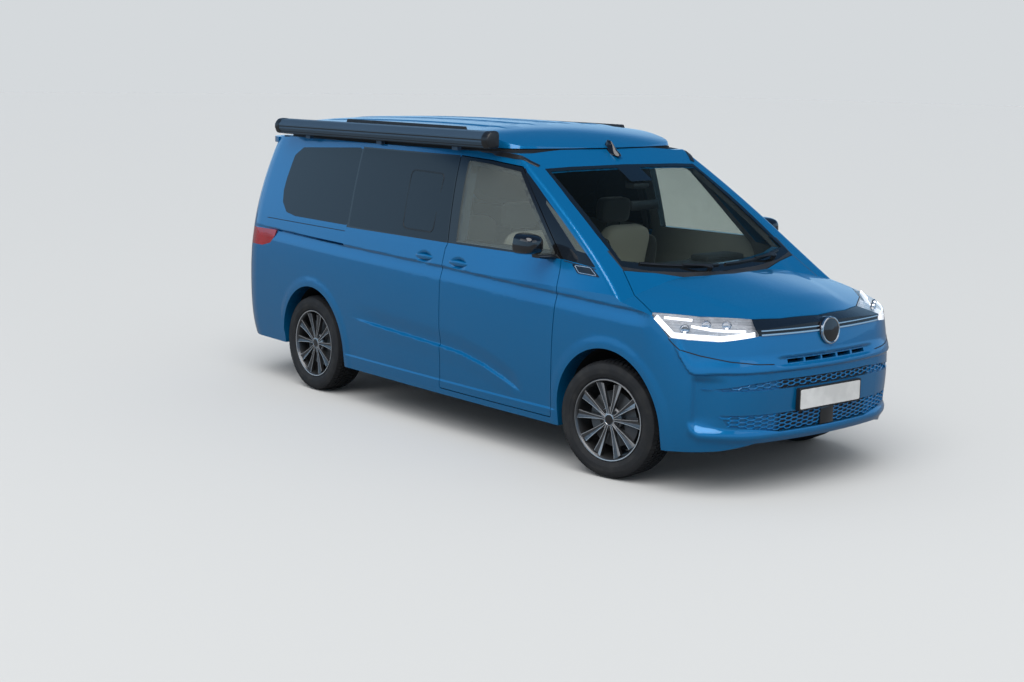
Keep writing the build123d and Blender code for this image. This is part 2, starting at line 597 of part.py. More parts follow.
# ---------------------------------------------------------------- floor, firewall and running gear
FLOOR_SHEET = 20.0
RAIL_Y, RAIL_WIDTH, RAIL_BOTTOM = 420.0, 70.0, 300.0
FIREWALL_X, FIREWALL_THICKNESS = 1560.0, 30.0
FLOOR_REAR_X = -2440.0
AXLE_ROOM = 120.0        # each way of the rear axle, where the floor's rails leave room for its beam
MAT_CORNERS = (-420.0, 220.0, -700.0, 470.0)      # rear, front, right and left edges
MAT_THICKNESS = 6.0
with BuildPart() as floor_pan:
    with Locations((FLOOR_REAR_X, 0, FLOOR_TOP)):
        Box(FIREWALL_X - FLOOR_REAR_X, 3000, FLOOR_SHEET, align=(Align.MIN, Align.CENTER, Align.MAX))
    add(cabin, mode=Mode.INTERSECT)
    add(wells, mode=Mode.SUBTRACT)
    for side in (-1, 1):
        with Locations((FLOOR_REAR_X, side * RAIL_Y, RAIL_BOTTOM)):
            Box(FIREWALL_X - FLOOR_REAR_X, RAIL_WIDTH, FLOOR_TOP - FLOOR_SHEET - RAIL_BOTTOM,
                align=(Align.MIN, Align.CENTER, Align.MIN))
    with Locations((REAR_AXLE_X, 0, FLOOR_TOP - FLOOR_SHEET)):
        Box(2 * AXLE_ROOM, 2 * (RAIL_Y + RAIL_WIDTH), 200, align=(Align.CENTER, Align.CENTER, Align.MAX),
            mode=Mode.SUBTRACT)
    mat_rear, mat_front, mat_right, mat_left = MAT_CORNERS
    with Locations((mat_rear, mat_right, FLOOR_TOP)):
        Box(mat_front - mat_rear, mat_left - mat_right, MAT_THICKNESS, align=(Align.MIN, Align.MIN, Align.MIN))
save("floor_pan", floor_pan.part)
with BuildPart() as wheelhouses:
    add(both_sides(front_housing))
    add(both_sides(rear_housing))
    add(cabin, mode=Mode.INTERSECT)
    with Locations((0, 0, FLOOR_TOP)):
        Box(3 * FAR, 3 * FAR, 800, align=(Align.CENTER, Align.CENTER, Align.MAX), mode=Mode.SUBTRACT)
    add(wells, mode=Mode.SUBTRACT)
save("wheelhouses", wheelhouses.part)
with BuildPart() as firewall:
    with Locations((FIREWALL_X, 0, RAIL_BOTTOM)):
        Box(FIREWALL_THICKNESS, 3000, 1120 - RAIL_BOTTOM, align=(Align.MIN, Align.CENTER, Align.MIN))
    add(cabin, mode=Mode.INTERSECT)
    add(both_sides(front_housing), mode=Mode.SUBTRACT)
save("firewall", firewall.part)

SUBFRAME_BOTTOM, SUBFRAME_TOP = 240.0, 290.0
ARM_Z, ARM_HEIGHT, ARM_WIDTH = 150.0, 22.0, 36.0
PIN_RADIUS = 6.0
FOOT_FACE = 8.0          # outboard face of the foot, from the pin's middle
LUG = (44.0, 130.0)      # width and height of the knuckle's lower lug
LUG_FOOT = 24.0
CALIPER_ANGLE = 15.0     # below the axle's height, ahead of it
PIN_LENGTH = 6.0
STUB_RADIUS = 26.0
CARRIER_INNER, CARRIER_OUTER = 60.0, -6.0      # inboard of the wheel's mid-plane
HUB_FACE = 50.0          # the wheel's mounting face, outboard of its mid-plane
AXLE_BEAM = (80.0, 60.0)
TRAILING_ARM_Y = 560.0
TRAILING_ARM = (420.0, 60.0)
with BuildPart() as subframes:
    with Locations((FRONT_AXLE_X, 0, SUBFRAME_BOTTOM)):
        Box(420, 2 * 430, SUBFRAME_TOP - SUBFRAME_BOTTOM, align=(Align.CENTER, Align.CENTER, Align.MIN))
    with Locations((FRONT_AXLE_X - 210, 0, SUBFRAME_TOP)):
        Box(120, 2 * RAIL_Y - RAIL_WIDTH, FLOOR_TOP - FLOOR_SHEET - SUBFRAME_TOP,
            align=(Align.MAX, Align.CENTER, Align.MIN))
    for side in (-1, 1):
        with BuildSketch(Plane.YZ.offset(FRONT_AXLE_X - ARM_WIDTH / 2)):
            with BuildLine():
                Polyline(
                    (side * (WHEEL_Y + 16), ARM_Z),
                    (side * (WHEEL_Y + 16), ARM_Z + ARM_HEIGHT),
                    (side * 640, ARM_Z + ARM_HEIGHT),
                    (side * 425, SUBFRAME_TOP),
                    (side * 425, SUBFRAME_TOP - 40),
                    (side * 640, ARM_Z),
                    close=True,
                )
            make_face()
        extrude(amount=ARM_WIDTH)
save("subframes", subframes.part)
with BuildPart() as rear_axle:
    with Locations((REAR_AXLE_X, 0, HUB_Z)):
        Box(AXLE_BEAM[0], 2 * (WHEEL_Y - CARRIER_INNER), AXLE_BEAM[1])
    for side in (-1, 1):
        with Locations((REAR_AXLE_X, side * TRAILING_ARM_Y, HUB_Z - AXLE_BEAM[1] / 2)):
            Box(TRAILING_ARM[0], TRAILING_ARM[1], AXLE_BEAM[1], align=(Align.MIN, Align.CENTER, Align.MIN))
        with Locations((REAR_AXLE_X + TRAILING_ARM[0], side * TRAILING_ARM_Y, HUB_Z)):
            Box(TRAILING_ARM[1], TRAILING_ARM[1], FLOOR_TOP - FLOOR_SHEET - HUB_Z,
                align=(Align.MAX, Align.CENTER, Align.MIN))
        with BuildSketch(Plane.XZ.offset(-side * (WHEEL_Y - CARRIER_INNER))):
            with Locations((REAR_AXLE_X, HUB_Z)):
                Circle(70)
        extrude(amount=-side * (CARRIER_INNER + CARRIER_OUTER))
        with BuildSketch(Plane.XZ.offset(-side * (WHEEL_Y - CARRIER_INNER))):
            with Locations((REAR_AXLE_X, HUB_Z)):
                Circle(STUB_RADIUS)
        extrude(amount=-side * (CARRIER_INNER + HUB_FACE + 20))
save("rear_axle", rear_axle.part)

ENGINE = (480.0, 640.0, 560.0)
ENGINE_GAP = 20.0
with BuildPart() as engine_block:
    with Locations((FIREWALL_X + FIREWALL_THICKNESS + ENGINE_GAP, 0, SUBFRAME_TOP)):
        Box(*ENGINE, align=(Align.MIN, Align.CENTER, Align.MIN))
    fillet(engine_block.edges().filter_by(Axis.Z), 60)
save("engine_block", engine_block.part)
TANK = (820.0, 660.0, 110.0)
with BuildPart() as fuel_tank:
    with Locations((-350, 0, FLOOR_TOP - FLOOR_SHEET)):
        Box(*TANK, align=(Align.CENTER, Align.CENTER, Align.MAX))
    fillet(fuel_tank.edges().filter_by(Axis.Z), 60)
save("fuel_tank", fuel_tank.part)
EXHAUST_Y, EXHAUST_Z, EXHAUST_RADIUS = -590.0, 318.0, 28.0
with BuildPart() as exhaust:
    with BuildSketch(Plane.YZ.offset(-900)):
        with Locations((EXHAUST_Y, EXHAUST_Z)):
            Circle(EXHAUST_RADIUS)
    extrude(amount=1900)
    with BuildSketch(Plane.YZ.offset(-750)):
        with Locations((EXHAUST_Y, FLOOR_TOP - FLOOR_SHEET - 62)):
            SlotOverall(230, 124)
    extrude(amount=620)
save("exhaust", exhaust.part)

# ---------------------------------------------------------------- wheels
# Each piece is drawn for the right side, about the Y axis, with its outside towards -Y.
RIM_HALF = 98.0
RIM_LIP = 8.0
SEAT_RADIUS = 229.0
FACE_OUT, FACE_IN = 97.0, 70.0
HUB_RADIUS = 74.0
SPOKES = 5
SPOKE_SPREAD_HUB, SPOKE_SPREAD_RIM = 15.0, 40.0
SPOKE_WIDTH = 20.0
with BuildPart() as tyre:
    with BuildSketch(Plane.XY):
        with BuildLine():
            half = TYRE_WIDTH / 2
            Polyline((SEAT_RADIUS, -RIM_HALF), (SEAT_RADIUS, RIM_HALF), (RIM_RADIUS, RIM_HALF))
            ThreePointArc((RIM_RADIUS, RIM_HALF), (285, half), (TYRE_RADIUS - 22, half - 8))
            ThreePointArc((TYRE_RADIUS - 22, half - 8), (TYRE_RADIUS - 5, half - 17), (TYRE_RADIUS, half - 36))
            Line((TYRE_RADIUS, half - 36), (TYRE_RADIUS, 36 - half))
            ThreePointArc((TYRE_RADIUS, 36 - half), (TYRE_RADIUS - 5, 17 - half), (TYRE_RADIUS - 22, 8 - half))
            ThreePointArc((TYRE_RADIUS - 22, 8 - half), (285, -half), (RIM_RADIUS, -RIM_HALF))
            Line((RIM_RADIUS, -RIM_HALF), (SEAT_RADIUS, -RIM_HALF))
        make_face()
    revolve(axis=Axis.Y)
with BuildPart() as rim:
    with BuildSketch(Plane.XY):
        with BuildLine():
            Polyline(
                (RIM_BORE - 8, -RIM_HALF - RIM_LIP), (RIM_RADIUS, -RIM_HALF - RIM_LIP), (RIM_RADIUS, -RIM_HALF),
                (SEAT_RADIUS, -RIM_HALF), (SEAT_RADIUS, RIM_HALF), (RIM_RADIUS, RIM_HALF),
                (RIM_RADIUS, RIM_HALF + RIM_LIP), (RIM_BORE, RIM_HALF + RIM_LIP), (RIM_BORE - 8, 60), close=True,
            )
        make_face()
    revolve(axis=Axis.Y)
    with BuildSketch(Plane.XZ.offset(HUB_FACE)):
        Circle(HUB_RADIUS)
        Circle(STUB_RADIUS + MOVING_GAP, mode=Mode.SUBTRACT)
    extrude(amount=FACE_OUT - 16 - HUB_FACE)
    with BuildSketch(Plane.XZ.offset(FACE_OUT - 16)):
        Circle(34)
    extrude(amount=10)
    with BuildSketch(Plane.XZ.offset(FACE_IN)):
        for k in range(SPOKES):
            for side in (-1, 1):
                with Locations(Rotation(0, 0, 90 + 360 * k / SPOKES)):
                    with BuildLine(mode=Mode.PRIVATE) as edge:
                        Polyline(
                            (30, side * (SPOKE_SPREAD_HUB - SPOKE_WIDTH / 2)),
                            (RIM_BORE, side * (SPOKE_SPREAD_RIM - SPOKE_WIDTH / 2)),
                            (RIM_BORE, side * (SPOKE_SPREAD_RIM + SPOKE_WIDTH / 2)),
                            (30, side * (SPOKE_SPREAD_HUB + SPOKE_WIDTH / 2)),
                            close=True,
                        )
                    add(make_face(edge.edges(), mode=Mode.PRIVATE))
        Circle(SEAT_RADIUS - 2, mode=Mode.INTERSECT)
        Circle(40, mode=Mode.SUBTRACT)
    extrude(amount=FACE_OUT - FACE_IN)
with BuildPart() as brake_disc:
    with BuildSketch(Plane.XZ.offset(HUB_FACE - 36)):
        Circle(DISC_RADIUS)
        Circle(HUB_RADIUS - 6, mode=Mode.SUBTRACT)
    extrude(amount=DISC_THICKNESS)
    with BuildSketch(Plane.XZ.offset(HUB_FACE - 36)):
        Circle(HUB_RADIUS)
        Circle(STUB_RADIUS + MOVING_GAP, mode=Mode.SUBTRACT)
    extrude(amount=36)
CALIPER_SPAN = 26.0      # half the arc, degrees
with BuildPart() as caliper:
    with BuildSketch(Plane.XY):
        with BuildLine():
            slot_in, slot_out = 36 - HUB_FACE + MOVING_GAP, 36 - HUB_FACE - DISC_THICKNESS - MOVING_GAP
            Polyline(
                (110, 30), (192, 30), (192, -62), (110, -62), (110, slot_out), (DISC_RADIUS + MOVING_GAP, slot_out),
                (DISC_RADIUS + MOVING_GAP, slot_in), (110, slot_in), close=True,
            )
        make_face()
    revolve(axis=Axis.Y, revolution_arc=2 * CALIPER_SPAN)
with BuildPart() as knuckle:
    with BuildSketch(Plane.XZ.offset(-CARRIER_INNER)):
        Circle(72)
    extrude(amount=CARRIER_INNER + CARRIER_OUTER)
    with BuildSketch(Plane.XZ.offset(-CARRIER_INNER)):
        Circle(STUB_RADIUS)
    extrude(amount=CARRIER_INNER + HUB_FACE + 20)
    lug_bottom = ARM_Z + ARM_HEIGHT + PIN_LENGTH - HUB_Z
    with Locations((0, -CARRIER_OUTER, lug_bottom)):
        Box(LUG[0], CARRIER_INNER + CARRIER_OUTER - 2, LUG[1], align=(Align.CENTER, Align.MIN, Align.MIN))
    with Locations((0, -FOOT_FACE, lug_bottom)):
        Box(LUG[0], FOOT_FACE + 16, LUG_FOOT, align=(Align.CENTER, Align.MIN, Align.MIN))
    with BuildSketch(Plane.XY.offset(lug_bottom - PIN_LENGTH)):
        Circle(PIN_RADIUS)
    extrude(amount=PIN_LENGTH)
    with Locations(Rotation(0, CALIPER_ANGLE - CALIPER_SPAN, 0)):
        add(caliper.part)
    with Locations(Rotation(0, CALIPER_ANGLE, 0)):
        with Locations((60, 6, 0)):
            Box(60, 24, 44, align=(Align.MIN, Align.MIN, Align.CENTER))


def placed(shape, x, side, turn):
    """A wheel piece stood at its axle; the left ones are mirror images."""
    piece = shape if side < 0 else left_of(shape)
    with BuildPart() as stood:
        with Locations(Location((x, side * WHEEL_Y, HUB_Z), (0, 0, turn))):
            add(piece)
    return stood.part


for corner, x, side, turn in (
    ("front_right", FRONT_AXLE_X, -1, REST_STEER),
    ("front_left", FRONT_AXLE_X, 1, REST_STEER),
    ("rear_right", REAR_AXLE_X, -1, 0.0),
    ("rear_left", REAR_AXLE_X, 1, 0.0),
):
    save(f"tyre_{corner}", placed(tyre.part, x, side, turn))
    save(f"rim_{corner}", placed(rim.part, x, side, turn))
    save(f"brake_disc_{corner}", placed(brake_disc.part, x, side, turn))
save("knuckle_right", placed(knuckle.part, FRONT_AXLE_X, -1, REST_STEER))
save("knuckle_left", placed(knuckle.part, FRONT_AXLE_X, 1, REST_STEER))

# ---------------------------------------------------------------- lifting roof
POP_BOTTOM = 1848.0
POP_SKIN = 30.0
POP_FRONT, POP_REAR = 704.0, -2150.0
POP_CROWN = 6000.0
POP_LEVELS = [
    Level(POP_BOTTOM, POP_FRONT, POP_REAR, 782.0, -450, 7200, 22000, 1900, 4200, 150, 220),
    Level(1900, POP_FRONT - 20, POP_REAR + 8, 770.0, -450, 7200, 22000, 1900, 4200, 150, 220),
    Level(2010, POP_FRONT - 60, POP_REAR + 50, 722.0, -450, 7200, 22000, 1900, 4200, 150, 220),
]


def pop_form(inset):
    """The right half of the lifting roof's outer form, or of an inner copy inset by a skin."""
    crown_axis = Axis((0, 0, 1985 - POP_CROWN), (1, 0, 0))
    with BuildPart() as cap:
        with BuildSketch(Plane.XZ):
            with BuildLine():
                a, b = (POP_FRONT + 10 - inset, POP_BOTTOM - 4), (470 - inset, 1937 - inset)
                c = (50 - inset / 2, 1984 - inset)
                d, e = (-1000, 1988 - inset), (-2010 + inset / 2, 1958 - inset)
                f, g = (-2110 + inset, 1922 - inset), (POP_REAR + inset, POP_BOTTOM - 4)
                ThreePointArc(a, b, c)
                ThreePointArc(c, d, e)
                ThreePointArc(e, f, g)
                Polyline(g, (g[0], 1500), (a[0], 1500), a)
            make_face()
        revolve(axis=crown_axis, revolution_arc=12)
    with BuildPart() as form:
        for level in POP_LEVELS:
            with BuildSketch(Plane.XY.offset(level.z)):
                with BuildLine():
                    plan_outline(level, inset, inset, inset)
                make_face()
        loft()
        add(cap.part.rotate(crown_axis, -1), mode=Mode.INTERSECT)
    return form.part


pop_outer = pop_form(0)
pop_inner = pop_form(POP_SKIN)
with BuildPart() as pop_roof:
    add(pop_outer)
    add(pop_inner, mode=Mode.SUBTRACT)
save("pop_roof", both_sides(pop_roof.part))
BELLOWS_Y, BELLOWS_FRONT, BELLOWS_REAR = 660.0, 430.0, -1950.0
BELLOWS_TOP = 1862.0
with BuildPart() as roof_bellows:
    with BuildSketch(Plane.XY.offset(CANT_TOP)):
        with Locations(((BELLOWS_FRONT + BELLOWS_REAR) / 2, 0)):
            RectangleRounded(BELLOWS_FRONT - BELLOWS_REAR, 2 * BELLOWS_Y, 90)
            RectangleRounded(BELLOWS_FRONT - BELLOWS_REAR - 40, 2 * BELLOWS_Y - 40, 70, mode=Mode.SUBTRACT)
    extrude(amount=BELLOWS_TOP - CANT_TOP)
save("roof_bellows", roof_bellows.part)
SEAL_HEIGHT = 20.0
with BuildPart() as roof_seal:
    with BuildSketch(Plane.XY.offset(CANT_TOP)):
        with BuildLine():
            plan_outline(POP_LEVELS[0], -8, -2, 0)
        make_face()
        with BuildLine():
            plan_outline(POP_LEVELS[0], 45, 45, 45)
        make_face(mode=Mode.SUBTRACT)
        with Locations((HEADER_TOP[0] - 20, 0)):
            Rectangle(1000, 3000, align=(Align.MIN, Align.CENTER), mode=Mode.SUBTRACT)
    extrude(amount=SEAL_HEIGHT)
save("roof_seal", both_sides(roof_seal.part))
with BuildPart() as roof_rails:
    with BuildSketch(Plane.XZ.offset(690)):
        with BuildLine():
            Polyline((110, 1925), (80, 1968), (-1270, 1972), (-1300, 1925), close=True)
        make_face()
    extrude(amount=22)
    add(pop_outer, mode=Mode.SUBTRACT)
save("roof_rails", both_sides(roof_rails.part))

# ---------------------------------------------------------------- awning on the right roof edge
AWNING_REAR, AWNING_FRONT = -1950.0, 560.0
AWNING_IN, AWNING_OUT = 806.0, 900.0
AWNING_BOTTOM, AWNING_TOP = 1852.0, 1957.0
AWNING_BRACKETS = (-1600.0, -700.0, 150.0)
BRACKET_SIZE = (60.0, 30.0)
BRACKET_LAP = 10.0
with BuildPart() as awning:
    with BuildSketch(Plane.YZ.offset(AWNING_REAR)):
        with BuildLine():
            middle = (AWNING_BOTTOM + AWNING_TOP) / 2
            Polyline(
                (-AWNING_IN, AWNING_BOTTOM), (-AWNING_IN, AWNING_TOP - 8), (-AWNING_IN - 26, AWNING_TOP),
                (-AWNING_OUT + 26, AWNING_TOP - 6), (-AWNING_OUT, middle + 14), (-AWNING_OUT, middle - 18),
                (-AWNING_OUT + 18, AWNING_BOTTOM), close=True,
            )
        make_face()
        fillet(vertices(), 9)
    extrude(amount=AWNING_FRONT - AWNING_REAR)
    for x in AWNING_BRACKETS:
        with Locations((x, -AWNING_IN - BRACKET_SIZE[1] / 2, CANT_TOP)):
            Box(*BRACKET_SIZE, AWNING_BOTTOM + BRACKET_LAP - CANT_TOP, align=(Align.CENTER, Align.CENTER, Align.MIN))
save("awning", awning.part)

# ---------------------------------------------------------------- mirrors
MIRROR_REAR, MIRROR_FRONT = 1085.0, 1225.0
MIRROR_FACE = [(-965, 1252), (-1100, 1262), (-1122, 1296), (-1112, 1372), (-1062, 1390), (-965, 1378)]
MIRROR_ROUND = 22.0
MIRROR_FOOT = (90.0, 160.0, 30.0)
MIRROR_FOOT_AT = (1172.0, -930.0, 1252.0)
with BuildPart() as mirror_right:
    with BuildSketch(Plane.YZ.offset(MIRROR_REAR)):
        with BuildLine():
            Polyline(*MIRROR_FACE, close=True)
        make_face()
        fillet(vertices(), MIRROR_ROUND)
    extrude(amount=MIRROR_FRONT - MIRROR_REAR, taper=7)
    fillet(mirror_right.faces().sort_by(Axis.X)[-1].edges(), 16)
    with Locations(MIRROR_FOOT_AT):
        Box(*MIRROR_FOOT)
    add(outer, mode=Mode.SUBTRACT)
save("mirror_right", mirror_right.part)
save("mirror_left", left_of(mirror_right.part))

# ---------------------------------------------------------------- cab and living space
DASH_Y = 800.0
WHEEL_CENTRE = (1080.0, 380.0, 1000.0)
WHEEL_TILT = 62.0
COLUMN_LENGTH = 92.0
column_way = (-sin(radians(WHEEL_TILT)), 0, cos(radians(WHEEL_TILT)))
rim_plane = Plane(WHEEL_CENTRE, x_dir=(0, 1, 0), z_dir=column_way)
with BuildPart() as dashboard:
    with BuildSketch(Plane.XZ.offset(-DASH_Y)):
        with BuildLine():
            Polyline((1290, 800), (1190, 860), (1180, 1010), (1240, 1075), (1500, 1100), (FIREWALL_X, 1090),
                     (FIREWALL_X, 800), close=True)
        make_face()
        fillet(vertices().group_by(Axis.X)[0], 20)
    extrude(amount=2 * DASH_Y)
    with BuildSketch(rim_plane.offset(-COLUMN_LENGTH - MOVING_GAP)):
        Circle(36)
    extrude(amount=-100)
save("dashboard", dashboard.part)
with BuildPart() as steering_wheel:
    with BuildSketch(rim_plane.offset(-14)):
        Circle(188)
        Circle(158, mode=Mode.SUBTRACT)
        Circle(60)
        Rectangle(330, 40)
    extrude(amount=28)
    with BuildSketch(rim_plane):
        Circle(24)
    extrude(amount=-COLUMN_LENGTH)
save("steering_wheel", steering_wheel.part)


def seat(x, y, width, back_top):
    """A seat facing forwards on its own box."""
    with BuildPart() as one:
        with BuildSketch(Plane.XZ.offset(-y - width / 2)):
            with BuildLine():
                Polyline((x - 230, 660), (x + 270, 690), (x + 275, 780), (x - 130, 760), (x - 260, back_top),
                         (x - 370, back_top), (x - 270, 700), close=True)
            make_face()
            fillet(vertices(), 22)
        extrude(amount=width)
        with Locations((x, y, FLOOR_TOP)):
            Box(420, width - 80, 290, align=(Align.CENTER, Align.CENTER, Align.MIN))
    return one.part


with BuildPart() as seats:
    for y in (-420, 420):
        add(seat(640, y, 500, 1300))
        with Locations((325, y, 1310)):
            Box(90, 240, 180, align=(Align.CENTER, Align.CENTER, Align.MIN))
    add(seat(-720, -160, 1100, 1250))
save("seats", seats.part)
KITCHEN = (1500.0, 330.0, 720.0)
with BuildPart() as kitchen_unit:
    with Locations((-1640, 820, FLOOR_TOP)):
        Box(*KITCHEN, align=(Align.MIN, Align.MAX, Align.MIN))
    add(left_of(rear_housing), mode=Mode.SUBTRACT)
save("kitchen_unit", kitchen_unit.part)
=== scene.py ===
"""Looks of the camper van: every finish, lamp, trim piece and light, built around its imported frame."""

import logging
import math
from dataclasses import dataclass, field
from enum import Enum
from functools import partialmethod
from typing import Callable, Iterable, Sequence

import bmesh
import bpy
import numpy as np
from mathutils import Matrix, Vector
from mathutils.bvhtree import BVHTree


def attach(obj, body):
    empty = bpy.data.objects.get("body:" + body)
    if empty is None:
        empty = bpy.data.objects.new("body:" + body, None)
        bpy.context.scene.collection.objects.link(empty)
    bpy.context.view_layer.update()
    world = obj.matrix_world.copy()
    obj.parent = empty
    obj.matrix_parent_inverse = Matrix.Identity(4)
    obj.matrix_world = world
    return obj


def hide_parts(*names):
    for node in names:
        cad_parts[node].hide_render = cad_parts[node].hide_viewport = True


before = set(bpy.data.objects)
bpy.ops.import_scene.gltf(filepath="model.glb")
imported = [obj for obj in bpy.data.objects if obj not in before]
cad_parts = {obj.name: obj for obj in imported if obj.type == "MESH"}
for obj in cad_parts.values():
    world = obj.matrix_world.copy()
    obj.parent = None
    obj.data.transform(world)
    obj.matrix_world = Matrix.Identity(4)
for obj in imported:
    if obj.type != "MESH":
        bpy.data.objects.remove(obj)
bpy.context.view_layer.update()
LOG = logging.getLogger("camper")

Point = Sequence[float]
Line = Sequence[tuple[float, float]]
Hit = tuple[Vector, Vector]             # a point on a surface and the way the surface faces there
Piece = bpy.types.Object
RIGHT, LEFT = -1.0, 1.0
SIDES = ((RIGHT, "right"), (LEFT, "left"))
CORNERS = ("front_left", "front_right", "rear_left", "rear_right")
UP = Vector((0, 0, 1))


# ---- shader sums
class Socket:
    """A shader output socket, or a number, that can be used in plain sums."""

    def __init__(self, tree: bpy.types.NodeTree, value: object) -> None:
        """Holds the tree and the socket or number."""
        self.tree = tree
        self.value = value

    def _math(self, operation: str, *others: object) -> "Socket":
        """Adds a Math node.

        Args:
            operation: the Math node's operation.
            others: further values, as sockets or numbers.

        Returns:
            The node's result.
        """
        node = self.tree.nodes.new("ShaderNodeMath")
        node.operation = operation
        for place, item in enumerate((self, *others)):
            raw = item.value if isinstance(item, Socket) else item
            if isinstance(raw, bpy.types.NodeSocket):
                self.tree.links.new(raw, node.inputs[place])
            else:
                node.inputs[place].default_value = float(raw)
        return Socket(self.tree, node.outputs[0])

    def __rsub__(self, other: object) -> "Socket":
        """Difference the other way round."""
        return Socket(self.tree, other)._math("SUBTRACT", self)

    __add__ = __radd__ = partialmethod(_math, "ADD")
    __sub__ = partialmethod(_math, "SUBTRACT")
    __mul__ = __rmul__ = partialmethod(_math, "MULTIPLY")
    __truediv__ = partialmethod(_math, "DIVIDE")
    __abs__ = partialmethod(_math, "ABSOLUTE")
    above = partialmethod(_math, "GREATER_THAN")    # 1 where this is above the limit, else 0
    below = partialmethod(_math, "LESS_THAN")       # 1 where this is below the limit, else 0
    at_most = partialmethod(_math, "MINIMUM")       # the smaller of the two
    at_least = partialmethod(_math, "MAXIMUM")      # the larger of the two
    sine = partialmethod(_math, "SINE")
    power = partialmethod(_math, "POWER")

    def ramp(self, low: float, high: float) -> "Socket":
        """Rises smoothly from 0 at low to 1 at high.

        Args:
            low: the value that gives 0.
            high: the value that gives 1.

        Returns:
            The eased value.
        """
        node = self.tree.nodes.new("ShaderNodeMapRange")
        node.interpolation_type = "SMOOTHSTEP"
        node.inputs["From Min"].default_value = low
        node.inputs["From Max"].default_value = high
        self.tree.links.new(self.value, node.inputs["Value"])
        return Socket(self.tree, node.outputs["Result"])


class Nodes:
    """A node tree while it is being put together."""

    def __init__(self, tree: bpy.types.NodeTree) -> None:
        """Holds the tree."""
        self.tree = tree

    def node(self, kind: str, settings: dict[str, object] | None = None, **inputs: object) -> bpy.types.Node:
        """Adds any node.

        Args:
            kind: the node's type.
            settings: attributes set first, such as an operation.
            inputs: values or links for its sockets, by name with _ for a space.

        Returns:
            The new node.
        """
        made = self.tree.nodes.new(kind)
        for key, value in (settings or {}).items():
            setattr(made, key, value)
        for key, value in inputs.items():
            self.feed(made.inputs[key.replace("_", " ")], value)
        return made

    def feed(self, socket: bpy.types.NodeSocket, value: object) -> None:
        """Links or sets one input socket.

        Args:
            socket: the input.
            value: a socket to link, or a number, colour or other value to set.
        """
        raw = value.value if isinstance(value, Socket) else value
        if isinstance(raw, bpy.types.NodeSocket):
            self.tree.links.new(raw, socket)
        elif isinstance(raw, (tuple, list)) and len(raw) == 3 and socket.type == "RGBA":
            socket.default_value = (*raw, 1.0)
        else:
            socket.default_value = raw

    def mix(self, factor: object, first: object, second: object) -> bpy.types.NodeSocket:
        """Blends two colours.

        Args:
            factor: the second colour's share.
            first: the colour at 0.
            second: the colour at 1.

        Returns:
            The blend's socket.
        """
        made = self.node("ShaderNodeMix", {"data_type": "RGBA"})
        for place, value in ((0, factor), (6, first), (7, second)):
            self.feed(made.inputs[place], value)
        return made.outputs[2]

    def blend(self, share: object, first: bpy.types.Node, second: bpy.types.Node) -> bpy.types.Node:
        """Mixes two shaders.

        Args:
            share: the second shader's share.
            first: the shader at 0.
            second: the shader at 1.

        Returns:
            The mixing node.
        """
        made = self.node("ShaderNodeMixShader", Fac=share)
        for place, shader in ((1, first), (2, second)):
            self.feed(made.inputs[place], shader.outputs[0])
        return made


class Finish(Nodes):
    """One node-based material while it is being put together."""

    def __init__(self, name: str) -> None:
        """Starts a material with a Principled shader.

        Args:
            name: the material's name.
        """
        self.material = bpy.data.materials.new(name)
        self.material.use_nodes = True
        super().__init__(self.material.node_tree)
        self.shader = self.tree.nodes["Principled BSDF"]

    def set(self, **inputs: object) -> None:
        """Sets or links the Principled shader's sockets."""
        for key, value in inputs.items():
            self.feed(self.shader.inputs[key.replace("_", " ")], value)

    def show(self, last: bpy.types.Node) -> None:
        """Makes a shader the one that the surface shows."""
        self.feed(self.tree.nodes["Material Output"].inputs["Surface"], last.outputs[0])

    def glaze(self, share: object, tint: Point) -> None:
        """Shows the Principled shader by its share, and a tinted view through the pane for the rest."""
        through = self.node("ShaderNodeBsdfTransparent", Color=tint)
        self.show(self.blend(share, through, self.shader))

    def place(self) -> bpy.types.NodeSocket:
        """The point on the object, in metres."""
        return self.node("ShaderNodeTexCoord").outputs["Object"]

    def axes(self, source: bpy.types.NodeSocket | None = None) -> tuple[Socket, Socket, Socket]:
        """The point's, or another vector's, three parts."""
        split = self.node("ShaderNodeSeparateXYZ", Vector=source or self.place())
        return tuple(Socket(self.tree, split.outputs[i]) for i in range(3))

    def facing(self) -> tuple[Socket, Socket, Socket]:
        """The surface's own direction, as three parts."""
        return self.axes(self.node("ShaderNodeNewGeometry").outputs["True Normal"])

    def noise(self, scale: float, detail: float = 2.0, stretch: Point = (1, 1, 1)) -> Socket:
        """Soft random variation over the object.

        Args:
            scale: how fine it is.
            detail: octaves.
            stretch: scale of each axis.

        Returns:
            A value about 0.5.
        """
        mapped = self.node("ShaderNodeMapping", Vector=self.place(), Scale=tuple(stretch))
        made = self.node("ShaderNodeTexNoise", Vector=mapped.outputs[0], Scale=scale, Detail=detail)
        return Socket(self.tree, made.outputs["Fac"])

    def cells(self, scale: float) -> Socket:
        """Distances between scattered points, for grain."""
        made = self.node("ShaderNodeTexVoronoi", Vector=self.place(), Scale=scale)
        return Socket(self.tree, made.outputs["Distance"])

    def gloss_share(self) -> Socket:
        """How much a pane mirrors: little head-on, nearly all at a glance, the same from both sides."""
        weight = self.node("ShaderNodeLayerWeight", Blend=0.5)
        return Socket(self.tree, weight.outputs["Facing"]).power(5.0) * 0.9 + 0.045

    def bump(self, height: object, strength: float, distance: float) -> None:
        """Gives the shader a bumped surface."""
        made = self.node("ShaderNodeBump", Strength=strength, Distance=distance, Height=height)
        self.feed(self.shader.inputs["Normal"], made.outputs[0])


